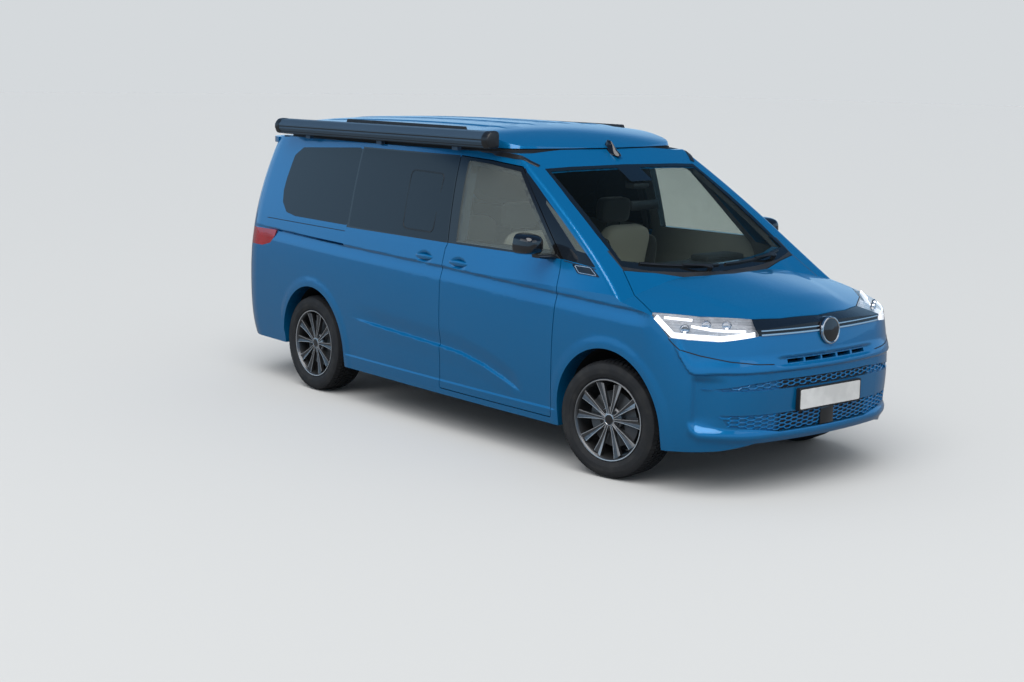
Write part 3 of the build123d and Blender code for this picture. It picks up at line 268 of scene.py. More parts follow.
# ---- the view, the floor and the light
@dataclass(frozen=True)
class Studio:
    """Camera, floor and lamps."""

    eye: Point = (8.1513, -6.9638, 2.3201)
    yaw_deg: float = 50.352
    pitch_deg: float = -9.762
    roll_deg: float = 0.931
    focal_px: float = 1563.3
    frame_width_px: float = 1024.0
    sensor_mm: float = 36.0
    floor_size: float = 240.0
    floor_mirrored: Point = (0.17, 0.175, 0.18)
    floor_seen: Point = (0.58, 0.58, 0.575)
    backdrop: Point = (0.665, 0.694, 0.716)
    sky_colour: Point = (0.86, 0.93, 1.0)
    sky_light: float = 0.62
    mirrored_low: Point = (0.42, 0.70, 1.0)
    mirrored_high: Point = (0.10, 0.42, 0.95)
    sun_colour: Point = (1.0, 0.98, 0.95)
    sun_light: float = 2.5
    sun_spread_deg: float = 60.0
    sun_from: Point = (3.6, -5.0, 10.0)
    panels: tuple = (
        ("front_panel", (8.5, 1.5, 5.0), (7.0, 4.0), 60.0),
        ("side_panel", (-0.5, -8.5, 5.2), (9.0, 3.0), 70.0),
    )
    panel_target: Point = (0.0, 0.0, 0.9)

    def build(self) -> None:
        """Makes the camera, the floor and the lamps."""
        self._camera()
        self._floor()
        self._world()
        self._lamps()
        bpy.context.scene.view_settings.view_transform = "Standard"

    def _camera(self) -> None:
        """Places the camera at the reference viewing angle."""
        yaw, pitch, roll = (math.radians(a) for a in (self.yaw_deg, self.pitch_deg, self.roll_deg))
        ahead = Vector((-math.sin(yaw) * math.cos(pitch), math.cos(yaw) * math.cos(pitch), math.sin(pitch)))
        right = ahead.cross(UP).normalized()
        up = right.cross(ahead)
        across = right * math.cos(roll) + up * math.sin(roll)
        upward = up * math.cos(roll) - right * math.sin(roll)
        data = bpy.data.cameras.new("view")
        data.sensor_width = self.sensor_mm
        data.lens = self.sensor_mm * self.focal_px / self.frame_width_px
        data.clip_end = 200.0
        camera = bpy.data.objects.new("view", data)
        turn = Matrix((across, upward, -ahead)).transposed().to_4x4()
        turn.translation = Vector(self.eye)
        camera.matrix_world = turn
        bpy.context.scene.collection.objects.link(camera)
        bpy.context.scene.camera = camera

    def _floor(self) -> None:
        """Makes the pale floor, which reflections see darker than the eye does."""
        finish = Finish("studio_floor")
        seen = finish.node("ShaderNodeLightPath").outputs["Is Camera Ray"]
        finish.set(Base_Color=finish.mix(seen, self.floor_mirrored, self.floor_seen), Roughness=0.9)
        half = self.floor_size / 2
        corners = [(-half, -half, 0), (half, -half, 0), (half, half, 0), (-half, half, 0)]
        floor = new_object("floor", corners, [(0, 1, 2, 3)])
        floor.data.materials.append(finish.material)

    def _world(self) -> None:
        """Gives an even pale backdrop, a soft light and a sky that reflections see brightest near the ground."""
        world = bpy.data.worlds.new("sky")
        bpy.context.scene.world = world
        world.use_nodes = True
        sky = Nodes(world.node_tree)
        light = sky.tree.nodes["Background"]
        sky.feed(light.inputs["Color"], self.sky_colour)
        sky.feed(light.inputs["Strength"], self.sky_light)
        height = sky.node("ShaderNodeSeparateXYZ", Vector=sky.node("ShaderNodeTexCoord").outputs["Generated"])
        up = Socket(sky.tree, height.outputs["Z"]).ramp(0.26, 0.46)
        tint = sky.mix(up, self.mirrored_low, self.mirrored_high)
        mirrored = sky.node("ShaderNodeBackground", Color=tint, Strength=0.86 - up * 0.62)
        backdrop = sky.node("ShaderNodeBackground", Color=self.backdrop)
        ray = sky.node("ShaderNodeLightPath").outputs
        seen = sky.blend(ray["Is Camera Ray"], sky.blend(ray["Is Glossy Ray"], light, mirrored), backdrop)
        sky.feed(sky.tree.nodes["World Output"].inputs["Surface"], seen.outputs[0])

    def _lamps(self) -> None:
        """Adds a soft high sun and two large weak panels that draw highlights along the body."""
        sun = bpy.data.lights.new("sun", "SUN")
        sun.energy = self.sun_light
        sun.angle = math.radians(self.sun_spread_deg)
        sun.color = self.sun_colour
        self._hang(sun, self.sun_from, (0, 0, 0))
        for name, place, size, power in self.panels:
            data = bpy.data.lights.new(name, "AREA")
            data.shape = "RECTANGLE"
            data.size, data.size_y = size
            data.energy = power
            self._hang(data, place, self.panel_target)

    @staticmethod
    def _hang(data: bpy.types.Light, place: Point, target: Point) -> None:
        """Hangs one lamp.

        Args:
            data: the lamp.
            place: where it hangs.
            target: what it points at.
        """
        lamp = bpy.data.objects.new(data.name, data)
        lamp.location = place
        lamp.rotation_euler = (Vector(target) - Vector(place)).to_track_quat("-Z", "Y").to_euler()
        bpy.context.scene.collection.objects.link(lamp)


# ---- meshes
def new_object(name: str, points: Iterable[Point], faces: Iterable[Sequence[int]]) -> Piece:
    """Makes a mesh object at the origin.

    Args:
        name: the piece's name.
        points: corners, in metres.
        faces: corner numbers of each face.

    Returns:
        The new object.
    """
    mesh = bpy.data.meshes.new(name)
    mesh.from_pydata([tuple(p) for p in points], [], [tuple(f) for f in faces])
    mesh.update()
    made = bpy.data.objects.new(name, mesh)
    bpy.context.scene.collection.objects.link(made)
    return made


def tidy(made: Piece, smooth_deg: float = 35.0, outward: bool = True) -> None:
    """Merges doubles, points the faces outwards and shades them smooth below an angle.

    Args:
        made: the piece.
        smooth_deg: edges sharper than this stay sharp.
        outward: whether the normals are worked out again.
    """
    work = bmesh.new()
    work.from_mesh(made.data)
    bmesh.ops.remove_doubles(work, verts=work.verts, dist=1e-5)
    bmesh.ops.dissolve_degenerate(work, edges=work.edges, dist=1e-6)
    if outward:
        bmesh.ops.recalc_face_normals(work, faces=work.faces)
    limit = math.radians(smooth_deg)
    for face in work.faces:
        face.smooth = True
    for edge in work.edges:
        edge.smooth = len(edge.link_faces) == 2 and edge.calc_face_angle(0.0) < limit
    work.to_mesh(made.data)
    work.free()
    made.data.update()


def dress(
    made: Piece,
    body: str,
    finish: str,
    replaces: Sequence[str] = (),
    smooth_deg: float | None = 35.0,
    outward: bool = True,
) -> Piece:
    """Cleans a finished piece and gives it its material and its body.

    Args:
        made: the piece.
        body: the CAD body it moves with.
        finish: its finish's name in the palette.
        replaces: CAD nodes that it stands for.
        smooth_deg: edges sharper than this stay sharp; None leaves the mesh as it is.
        outward: whether the normals are worked out again.

    Returns:
        The piece.
    """
    if smooth_deg is not None:
        tidy(made, smooth_deg, outward)
    made.data.materials.clear()
    made.data.materials.append(Palette.get(finish))
    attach(made, body)
    if replaces:
        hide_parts(*replaces)
    LOG.info("%s: %d faces on %s", made.name, len(made.data.polygons), body)
    return made


def joined(name: str, parts: Sequence[Piece]) -> Piece:
    """Joins meshes into one object and removes the others.

    Args:
        name: the result's name.
        parts: the objects to join.

    Returns:
        The joined object.
    """
    points: list[Vector] = []
    faces: list[list[int]] = []
    for part in parts:
        start = len(points)
        points += [v.co.copy() for v in part.data.vertices]
        faces += [[start + i for i in p.vertices] for p in part.data.polygons]
        bpy.data.objects.remove(part)
    return new_object(name, points, faces)


def rings(
    name: str, loops: Sequence[Sequence[Point]], closed: bool = True, caps: bool = True, round_trip: bool = False
) -> Piece:
    """Skins a row of loops that have equally many points.

    Args:
        name: the piece's name.
        loops: the loops, each a list of points.
        closed: whether each loop closes on itself.
        caps: whether the first and last loop are filled.
        round_trip: whether the last loop joins the first.

    Returns:
        The new object.
    """
    count = len(loops[0])
    points = [p for loop in loops for p in loop]
    faces: list[tuple[int, ...]] = []
    rows = len(loops)
    for i in range(rows if round_trip else rows - 1):
        a, b = i * count, ((i + 1) % rows) * count
        for j in range(count if closed else count - 1):
            k = (j + 1) % count
            faces.append((a + j, a + k, b + k, b + j))
    if caps and closed and not round_trip:
        faces.append(tuple(range(count)))
        faces.append(tuple(reversed(range((rows - 1) * count, rows * count))))
    return new_object(name, points, faces)


def sweep(
    name: str,
    path: Sequence[Vector],
    ups: Sequence[Vector],
    section: Line,
    round_trip: bool = False,
    taper: Callable[[float], float] | None = None,
) -> Piece:
    """Sweeps a flat section along a path that lies on a surface.

    Args:
        name: the piece's name.
        path: the path's points.
        ups: the surface's outward direction at each point.
        section: (across, out) points of the section.
        round_trip: whether the path closes on itself.
        taper: the section's scale at a share of the path's length.

    Returns:
        The swept piece.
    """
    loops = []
    last = len(path) - 1
    for i, (point, up) in enumerate(zip(path, ups)):
        before = path[i - 1] if i or round_trip else point
        after = path[(i + 1) % len(path)] if i < last or round_trip else point
        along = (after - before).normalized()
        side = along.cross(up).normalized()
        out = side.cross(along).normalized()
        size = taper(i / last) if taper else 1.0
        loops.append([point + side * (a * size) + out * (b * size) for a, b in section])
    return rings(name, loops, round_trip=round_trip)


def circle(count: int) -> list[tuple[float, float]]:
    """Points on a circle of radius 1."""
    return [(math.cos(2 * math.pi * i / count), math.sin(2 * math.pi * i / count)) for i in range(count)]


def pad_section(width: float, low: float, high: float, edge: float) -> Line:
    """A flat strip's section, with its upper corners cut.

    Args:
        width: across.
        low: the underside's height.
        high: the top's height.
        edge: size of the cut corners.

    Returns:
        The section's points.
    """
    half = width / 2
    return [
        (-half, low), (half, low), (half, high - edge), (half - edge, high), (edge - half, high), (-half, high - edge),
    ]


def traced(hits: Iterable[Hit], lift: float) -> tuple[list[Vector], list[Vector]]:
    """Lifts a row of points off their surface.

    Args:
        hits: the points and the ways the surface faces there.
        lift: how far each is lifted.

    Returns:
        The lifted points, and the ways.
    """
    pairs = [(point + out * lift, out) for point, out in hits]
    return [point for point, _ in pairs], [out for _, out in pairs]


def densified(points: Sequence[Point], step: float, closed: bool = False) -> list[Vector]:
    """Adds points on a broken line so that none are further apart than step.

    Args:
        points: the line's corners.
        step: the longest gap.
        closed: whether the line returns to its start.

    Returns:
        The fuller line.
    """
    corners = [Vector(p) for p in points]
    ends = corners[1:] + (corners[:1] if closed else [])
    out: list[Vector] = []
    for a, b in zip(corners, ends):
        count = max(1, math.ceil((b - a).length / step))
        out += [a.lerp(b, i / count) for i in range(count)]
    return out if closed else out + [corners[-1]]


def rounded(points: Sequence[Point], radius: float, count: int = 6) -> list[Vector]:
    """Rounds the corners of a closed outline.

    Args:
        points: the outline's corners.
        radius: the corners' size along each run.
        count: points on each corner.

    Returns:
        The rounded outline.
    """
    corners = [Vector(p) for p in points]
    out: list[Vector] = []
    for i, corner in enumerate(corners):
        before, after = corners[i - 1], corners[(i + 1) % len(corners)]
        reach_in = min(radius, (before - corner).length * 0.45)
        reach_out = min(radius, (after - corner).length * 0.45)
        a = corner + (before - corner).normalized() * reach_in
        b = corner + (after - corner).normalized() * reach_out
        for k in range(count + 1):
            t = k / count
            out.append(a * (1 - t) ** 2 + corner * (2 * t * (1 - t)) + b * t**2)
    return out


def turned(
    name: str, profile: Line, centre: Point, axis: Point, count: int = 64
) -> Piece:
    """Turns a profile of (along, radius) points about an axis.

    Args:
        name: the piece's name.
        profile: distances along the axis and radii.
        centre: a point on the axis.
        axis: its direction.
        count: steps round it.

    Returns:
        The turned piece.
    """
    way = Vector(axis).normalized()
    side = way.orthogonal().normalized()
    other = way.cross(side)
    middle = Vector(centre)
    loops = []
    for i in range(count):
        angle = 2 * math.pi * i / count
        out = side * math.cos(angle) + other * math.sin(angle)
        loops.append([middle + way * a + out * r for a, r in profile])
    made = rings(name, loops, closed=False, caps=False, round_trip=True)
    tidy(made)
    return made


class Skin:
    """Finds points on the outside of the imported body."""

    def __init__(self, nodes: Sequence[str]) -> None:
        """Gathers the outer nodes' faces.

        Args:
            nodes: CAD nodes.
        """
        points: list[Vector] = []
        faces: list[list[int]] = []
        for name in nodes:
            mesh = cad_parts[name].data
            start = len(points)
            points += [v.co.copy() for v in mesh.vertices]
            faces += [[start + i for i in p.vertices] for p in mesh.polygons]
        self.tree = BVHTree.FromPolygons(points, faces)

    def cast(self, start: Point, way: Point, spare: Point | None = None) -> Hit | None:
        """Finds where a ray first meets the outside.

        Args:
            start: the ray's start.
            way: its direction.
            spare: the point to use where it meets nothing.

        Returns:
            The point and the way the surface faces there.
        """
        point, out = self.tree.ray_cast(Vector(start), Vector(way))[:2]
        if point is None:
            return None if spare is None else (Vector(spare), -Vector(way))
        return point, out if out.dot(Vector(way)) < 0 else -out

    def side(self, x: float, z: float, side: float = RIGHT) -> Hit:
        """The outer side at a height, and the way it faces."""
        return self.cast((x, side * 1.6, z), (0, -side, 0), (x, side * 0.9, z))

    def front(self, y: float, z: float) -> Hit:
        """The nose at a height, and the way it faces."""
        return self.cast((3.4, y, z), (-1, 0, 0), (2.4, y, z))

    def rear(self, y: float, z: float) -> Hit:
        """The tail at a height, and the way it faces."""
        return self.cast((-3.4, y, z), (1, 0, 0), (-2.4, y, z))

    def top(self, x: float, y: float) -> Hit:
        """The upper surface, and the way it faces."""
        return self.cast((x, y, 3.0), (0, 0, -1), (x, y, 1.84))


# ---- finishes
BLUE: Point = (0.0, 0.149, 0.365)
BLACK: Point = (0.008, 0.008, 0.009)
PALE_HAZE: Point = (0.36, 0.40, 0.39)
BELT = 1.237            # height of the sills of the side windows


class Recipe:
    """A finish that can be made a material."""

    name: str

    def make(self) -> bpy.types.Material:
        """Builds the material."""
        f = Finish(self.name)
        self.paint(f)
        return f.material


@dataclass(frozen=True)
class Lacquer(Recipe):
    """Blue metallic lacquer outside, with a pale lining on whatever faces the cabin."""

    name: str = "blue_lacquer"
    colour: Point = BLUE
    lining: bool = False
    black_above: float = 0.0
    pillars: bool = False
    inner: Point = (0.10, 0.10, 0.105)

    def paint(self, f: Finish) -> None:
        """Sets the shader up."""
        flakes, cloud = f.cells(5200.0), f.noise(1.3)
        bright = tuple(c * 1.35 + 0.004 for c in self.colour)
        colour = f.mix(flakes.ramp(0.1, 0.9) * 0.25 + cloud * 0.10, self.colour, bright)
        metal: object = 0.45
        rough: object = flakes * 0.10 + 0.24
        coat: object = 1.0
        if self.lining or self.black_above or self.pillars:
            x, y, z = f.axes()
            nx, ny, nz = f.facing()
            if self.black_above:
                black = z.above(self.black_above)
                colour = f.mix(black, colour, BLACK)
                metal = (1 - black) * 0.45
                rough = rough * (1 - black) + black * 0.16
            if self.pillars:
                edge = abs((x - 1.262) * 0.692 + (z - 1.244) * 0.7215)
                strips = abs(x + 0.931).below(0.031) + abs(x - 0.232).below(0.077) + edge.below(0.015) * z.below(1.738)
                black = strips.at_most(1.0) * z.above(BELT) * z.below(1.779) * abs(y).above(0.66)
                colour = f.mix(black, colour, BLACK)
                metal = (1 - black) * 0.45
            if self.lining:
                inward = (ny * y).below(-0.12) * abs(nz).below(0.96)
                under = nz.below(-0.55) * z.above(1.45) + nx.below(-0.4) * x.above(0.6) * z.above(1.15)
                mask = (inward + under).at_most(1.0)
                colour = f.mix(mask, colour, self.inner)
                metal = (1 - mask) * metal
                rough = (1 - mask) * rough + mask * 0.75
                coat = 1 - mask
        f.set(Base_Color=colour, Metallic=metal, Roughness=rough, Coat_Weight=coat)
        f.set(Coat_Roughness=0.025, Specular_IOR_Level=0.2)
        f.bump(f.noise(420.0, 1.0), 0.012, 0.002)


@dataclass(frozen=True)
class Moulded(Recipe):
    """Moulded plastic or rubber, with a fine grain."""

    name: str
    colour: Point = (0.018, 0.018, 0.019)
    roughness: float = 0.5
    grain: float = 900.0
    depth: float = 0.25
    coat: float = 0.0

    def paint(self, f: Finish) -> None:
        """Sets the shader up."""
        wear = f.noise(9.0, 4.0)
        bright = tuple(c * 1.5 + 0.004 for c in self.colour)
        f.set(
            Base_Color=f.mix(wear.ramp(0.35, 0.75) * 0.5, self.colour, bright),
            Roughness=wear * 0.12 + (self.roughness - 0.06),
            Coat_Weight=self.coat,
        )
        f.bump(f.cells(self.grain), self.depth, 0.0006)


@dataclass(frozen=True)
class Metal(Recipe):
    """Bare, lacquered or anodised metal with brushing along one axis."""

    name: str
    colour: Point
    roughness: float = 0.3
    metallic: float = 1.0
    stretch: Point = (4.0, 300.0, 300.0)
    depth: float = 0.08

    def paint(self, f: Finish) -> None:
        """Sets the shader up."""
        lines = f.noise(6.0, 3.0, self.stretch)
        dark, bright = (tuple(c * share for c in self.colour) for share in (0.85, 1.12))
        f.set(
            Base_Color=f.mix(f.noise(3.0, 3.0) * 0.5, dark, bright),
            Metallic=self.metallic,
            Roughness=lines * 0.14 + (self.roughness - 0.07),
        )
        f.bump(lines, self.depth, 0.0008)


@dataclass(frozen=True)
class Tinted(Recipe):
    """Dark glass that hides the inside."""

    name: str = "privacy_glass"
    colour: Point = (0.010, 0.014, 0.022)
    cover: float = 0.93

    def paint(self, f: Finish) -> None:
        """Sets the shader up."""
        haze = f.noise(0.9, 1.0)
        colour = f.mix(haze, self.colour, tuple(c * 1.7 for c in self.colour))
        f.set(Base_Color=colour, Roughness=haze * 0.02 + 0.02, Alpha=self.cover, IOR=1.52)


class Frit(Enum):
    """Which part of a pane is printed black."""

    NONE = "none"
    SCREEN = "screen"
    DOOR = "door"


@dataclass(frozen=True)
class ClearGlass(Recipe):
    """See-through glass with a faint green tint and, where it is printed, a black border."""

    name: str
    frit: Frit = Frit.NONE
    tint: Point = (0.86, 0.90, 0.88)
    veil: float = 0.0
    haze: Point = (0.02, 0.025, 0.024)

    def paint(self, f: Finish) -> None:
        """Sets the shader up."""
        border = self._border(f)
        f.set(
            Base_Color=f.mix(border, self.haze, (0.006, 0.007, 0.008)),
            Roughness=f.noise(0.8, 1.0) * 0.02 + 0.01,
            Coat_Weight=0.3,
        )
        f.glaze((f.gloss_share() + border + self.veil).at_most(1.0), self.tint)

    def _border(self, f: Finish) -> Socket:
        """Where the black print lies.

        Args:
            f: the glass's material.

        Returns:
            The share of print at each point.
        """
        x, y, z = f.axes()
        if self.frit is Frit.SCREEN:
            side = abs(y) - (0.708 - (z - 1.217) * 0.155)
            foot = (1.195 + y * y * 0.105) - z
            head = z - (1.733 - y * y * 0.03)
            sensor = (z - 1.655).at_most(0.095 - abs(y))
            return side.at_least(foot).at_least(head).at_least(sensor).ramp(-0.004, 0.004)
        if self.frit is Frit.DOOR:
            return (1.252 - z).ramp(-0.002, 0.002)
        return x.above(99.0)


@dataclass(frozen=True)
class QuarterPanel(Recipe):
    """The black pane ahead of the door, clear only in its narrow middle."""

    name: str = "quarter_panel"
    corners: Line = ((0.997, 1.586), (1.469, 1.307), (1.469, 1.274), (1.361, 1.287), (1.020, 1.534))

    def paint(self, f: Finish) -> None:
        """Sets the shader up."""
        x, y, z = f.axes()
        inside: Socket | None = None
        for (ax, az), (bx, bz) in zip(self.corners, self.corners[1:] + self.corners[:1]):
            length = math.hypot(bx - ax, bz - az)
            edge = ((x - ax) * (bz - az) - (z - az) * (bx - ax)) / length
            inside = edge if inside is None else inside.at_most(edge)
        clear = inside.ramp(0.009, 0.015) * x.above(0.75)
        f.set(Base_Color=f.mix(clear, (0.010, 0.014, 0.020), PALE_HAZE), Roughness=f.noise(1.1) * 0.02 + 0.03)
        f.glaze(1 - clear * (0.84 - f.gloss_share()).at_least(0.0), (0.62, 0.74, 0.70))


@dataclass(frozen=True)
class Cloth(Recipe):
    """Woven cloth, its threads crossing at a fine pitch."""

    name: str
    colour: Point
    thread: Point
    pitch: float = 1400.0
    depth: float = 0.5

    def paint(self, f: Finish) -> None:
        """Sets the shader up."""
        x, y, z = f.axes()
        warp = (y * self.pitch).sine()
        weft = ((z + x * 0.5) * self.pitch).sine()
        weave = (warp * weft) * 0.5 + 0.5
        fade = f.noise(6.0, 4.0)
        colour = f.mix(weave * 0.6 + fade * 0.4, self.colour, self.thread)
        f.set(Base_Color=colour, Roughness=fade * 0.1 + 0.85, Sheen_Weight=0.3)
        f.bump(weave, self.depth, 0.0008)


@dataclass(frozen=True)
class Alloy(Recipe):
    """Dark grey lacquered wheel whose outer faces are lightly machined."""

    name: str = "wheel_alloy"
    dark: Point = (0.075, 0.076, 0.080)
    bright: Point = (0.72, 0.72, 0.72)

    def paint(self, f: Finish) -> None:
        """Sets the shader up."""
        machined = abs(f.facing()[1]).ramp(0.93, 0.975)
        swirl = f.noise(40.0, 3.0, (1, 8, 1))
        colour = f.mix(machined * 0.85 + swirl * 0.12, self.dark, self.bright)
        f.set(Base_Color=colour, Metallic=0.85, Roughness=swirl * 0.12 + 0.28, Coat_Weight=0.4)
        f.bump(f.cells(1600.0), 0.05, 0.0005)


@dataclass(frozen=True)
class TyreRubber(Recipe):
    """Black rubber, paler and dustier in patches."""

    name: str = "tyre_rubber"

    def paint(self, f: Finish) -> None:
        """Sets the shader up."""
        dust = f.noise(14.0, 5.0)
        colour = f.mix(dust.ramp(0.4, 0.8) * 0.6, (0.012, 0.012, 0.013), (0.040, 0.038, 0.036))
        f.set(Base_Color=colour, Roughness=dust * 0.2 + 0.62)
        f.bump(f.cells(1500.0), 0.25, 0.0006)


@dataclass(frozen=True)
class Glow(Recipe):
    """A lit lamp face."""

    name: str
    colour: Point
    strength: float

    def paint(self, f: Finish) -> None:
        """Sets the shader up."""
        lit = f.mix(f.noise(90.0, 1.0) * 0.3, self.colour, tuple(c * 0.7 for c in self.colour))
        f.set(Base_Color=self.colour, Roughness=0.25, Emission_Color=lit, Emission_Strength=self.strength)


@dataclass(frozen=True)
class LampBlock(Recipe):
    """Lens finish of a lamp body: clear towards the outside, a pale reflector floor behind, which glows faintly with
    painted light.
    """

    name: str = "lamp_block"
    floor: Point = (0.26, 0.265, 0.28)

    def paint(self, f: Finish) -> None:
        """Sets the shader up."""
        x, y, z = f.axes()
        nx, ny, nz = f.facing()
        behind = Socket(f.tree, f.node("ShaderNodeNewGeometry").outputs["Backfacing"])
        outward = ((nx * 0.64 + ny * y * 0.9) * (1 - behind * 2)).above(0.12)
        ribs = (z * 420.0).sine() * 0.5 + 0.5
        cells = f.noise(30.0, 3.0)
        f.set(
            Base_Color=f.mix(cells * 0.7 + ribs * 0.3, self.floor, (0.55, 0.56, 0.58)),
            Metallic=0.2,
            Roughness=cells * 0.2 + 0.16,
            # The floor's faint emission is painted light: a glow that stands in for the light filling the lamp's
            # inside.
            Emission_Color=f.mix(cells, self.floor, (0.60, 0.62, 0.66)),
            Emission_Strength=0.10,
        )
        through = f.node("ShaderNodeBsdfTransparent", Color=(0.97, 0.98, 1.0))
        gloss = f.node("ShaderNodeBsdfGlossy", Roughness=0.02)
        f.show(f.blend(outward, f.shader, f.blend(f.gloss_share(), through, gloss)))


@dataclass(frozen=True)
class GrilleBlack(Recipe):
    """Black in the middle, the body's blue towards the corners where the honeycomb is closed."""

    name: str = "grille_black"

    def paint(self, f: Finish) -> None:
        """Sets the shader up."""
        x, y, z = f.axes()
        closed = abs(y).ramp(0.37, 0.41) * z.below(0.80)
        f.set(
            Base_Color=f.mix(closed, (0.006, 0.006, 0.007), BLUE),
            Metallic=closed * 0.45,
            Roughness=f.noise(30.0) * 0.1 + 0.16,
            Coat_Weight=closed,
        )


class Palette:
    """All finishes, each made once when it is first asked for."""

    recipes = {
        "lacquer": Lacquer(),
        "lined_lacquer": Lacquer("lined_lacquer", lining=True, pillars=True),
        "door_lacquer": Lacquer("door_lacquer", lining=True, black_above=BELT, inner=(0.30, 0.30, 0.29)),
        "gloss_black": Moulded("gloss_black", (0.006, 0.006, 0.007), 0.12, 300.0, 0.01, 0.8),
        "grained_black": Moulded("grained_black"),
        "satin_black": Moulded("satin_black", (0.010, 0.010, 0.011), 0.35, 1200.0, 0.08),
        "rubber": Moulded("seal_rubber", (0.008, 0.008, 0.008), 0.7, 1200.0, 0.15),
        "privacy": Tinted(),
        "screen": ClearGlass("screen_glass", Frit.SCREEN),
        "door_glass": ClearGlass("door_glass", Frit.DOOR, (0.86, 0.89, 0.87), 0.12, PALE_HAZE),
        "quarter": QuarterPanel(),
        "lens": LampBlock(),
        "grille_black": GrilleBlack(),
        "alloy": Alloy(),
        "tyre": TyreRubber(),
        "disc": Metal("disc_steel", (0.20, 0.20, 0.20), 0.45, 0.9, (60.0, 3.0, 60.0)),
        "iron": Metal("cast_iron", (0.10, 0.10, 0.105), 0.6, 0.7, (60.0, 60.0, 60.0), 0.3),
        "under": Moulded("underbody_coat", (0.016, 0.016, 0.017), 0.8, 260.0, 0.5),
        "anodised": Metal("anodised_grey", (0.085, 0.135, 0.190), 0.42, 0.6),
        "chrome": Metal("bright_trim", (0.72, 0.73, 0.74), 0.16, 1.0, (50.0, 50.0, 50.0), 0.02),
        "reflector": Metal("lamp_reflector", (0.62, 0.63, 0.65), 0.2, 1.0, (80.0, 80.0, 4.0), 0.05),
        "led": Glow("led_white", (0.97, 0.98, 1.0), 0.80),
        "amber": Moulded("amber_lens", (0.22, 0.045, 0.008), 0.15, 200.0, 0.02, 0.6),
        "red": Moulded("red_lens", (0.30, 0.005, 0.008), 0.14, 240.0, 0.05, 0.8),
        "pale_lens": Moulded("pale_lens", (0.62, 0.60, 0.60), 0.14, 240.0, 0.04, 0.8),
        "plate": Moulded("plate_white", (0.66, 0.66, 0.65), 0.35, 2000.0, 0.02),
        "seat_pale": Cloth("seat_pale", (0.42, 0.39, 0.34), (0.55, 0.52, 0.46)),
        "seat_dark": Cloth("seat_dark", (0.030, 0.031, 0.034), (0.055, 0.056, 0.060)),
        "fascia": Moulded("fascia", (0.022, 0.024, 0.026), 0.62, 700.0, 0.3),
        "laminate": Moulded("laminate", (0.40, 0.39, 0.37), 0.4, 80.0, 0.03),
        "canvas": Cloth("bellows_canvas", (0.12, 0.125, 0.13), (0.18, 0.185, 0.19), 900.0, 0.6),
    }
    made: dict[str, bpy.types.Material] = {}

    @classmethod
    def get(cls, name: str) -> bpy.types.Material:
        """The named finish's material."""
        if name not in cls.made:
            cls.made[name] = cls.recipes[name].make()
        return cls.made[name]


@dataclass(frozen=True)
class CarriedNodes:
    """The CAD pieces whose shapes stay, each with its finish."""

    finishes: dict[str, tuple[str, ...]] = field(default_factory=lambda: {
        "lacquer": ("rear_bumper",),
        "grille_black": ("grilles",),
        "grained_black": ("cowl_panel", "roof_rails"),
        "rubber": ("roof_seal",),
        "privacy": ("tailgate_glass",),
        "quarter": ("side_glass",),
        "screen": ("windscreen",),
        "door_glass": ("door_glass_left", "door_glass_right"),
        "lens": ("headlamps",),
        "red": ("tail_lamps", "tailgate_lamps"),
        "disc": tuple(f"brake_disc_{c}" for c in CORNERS) + ("exhaust",),
        "iron": ("knuckle_left", "knuckle_right", "subframes", "rear_axle", "engine_block"),
        "under": ("floor_pan", "wheelhouses", "firewall", "fuel_tank"),
        "anodised": ("awning",),
        "fascia": ("dashboard",),
        "laminate": ("kitchen_unit",),
        "canvas": ("roof_bellows",),
    })

    def build(self) -> None:
        """Gives each node its finish."""
        for finish, nodes in self.finishes.items():
            for name in nodes:
                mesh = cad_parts[name].data
                mesh.materials.clear()
                mesh.materials.append(Palette.get(finish))


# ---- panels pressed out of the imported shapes
ARCHES = ((1.7205, 0.358), (-1.3975, 0.358))
ARCH_RADIUS = 0.412


def ease(value: np.ndarray, low: float, high: float) -> np.ndarray:
    """A smooth step from 0 at low to 1 at high."""
    t = np.clip((value - low) / (high - low), 0.0, 1.0)
    return t * t * (3 - 2 * t)


def bowl(distance: np.ndarray) -> np.ndarray:
    """A smooth dish: 1 in the middle, 0 at a distance of 1 and beyond."""
    return (1 - np.clip(distance, 0, 1) ** 2) ** 2


def level(x: np.ndarray, line: Line) -> np.ndarray:
    """The height of a line given by (x, z) points in rising x."""
    return np.interp(x, [p[0] for p in line], [p[1] for p in line])


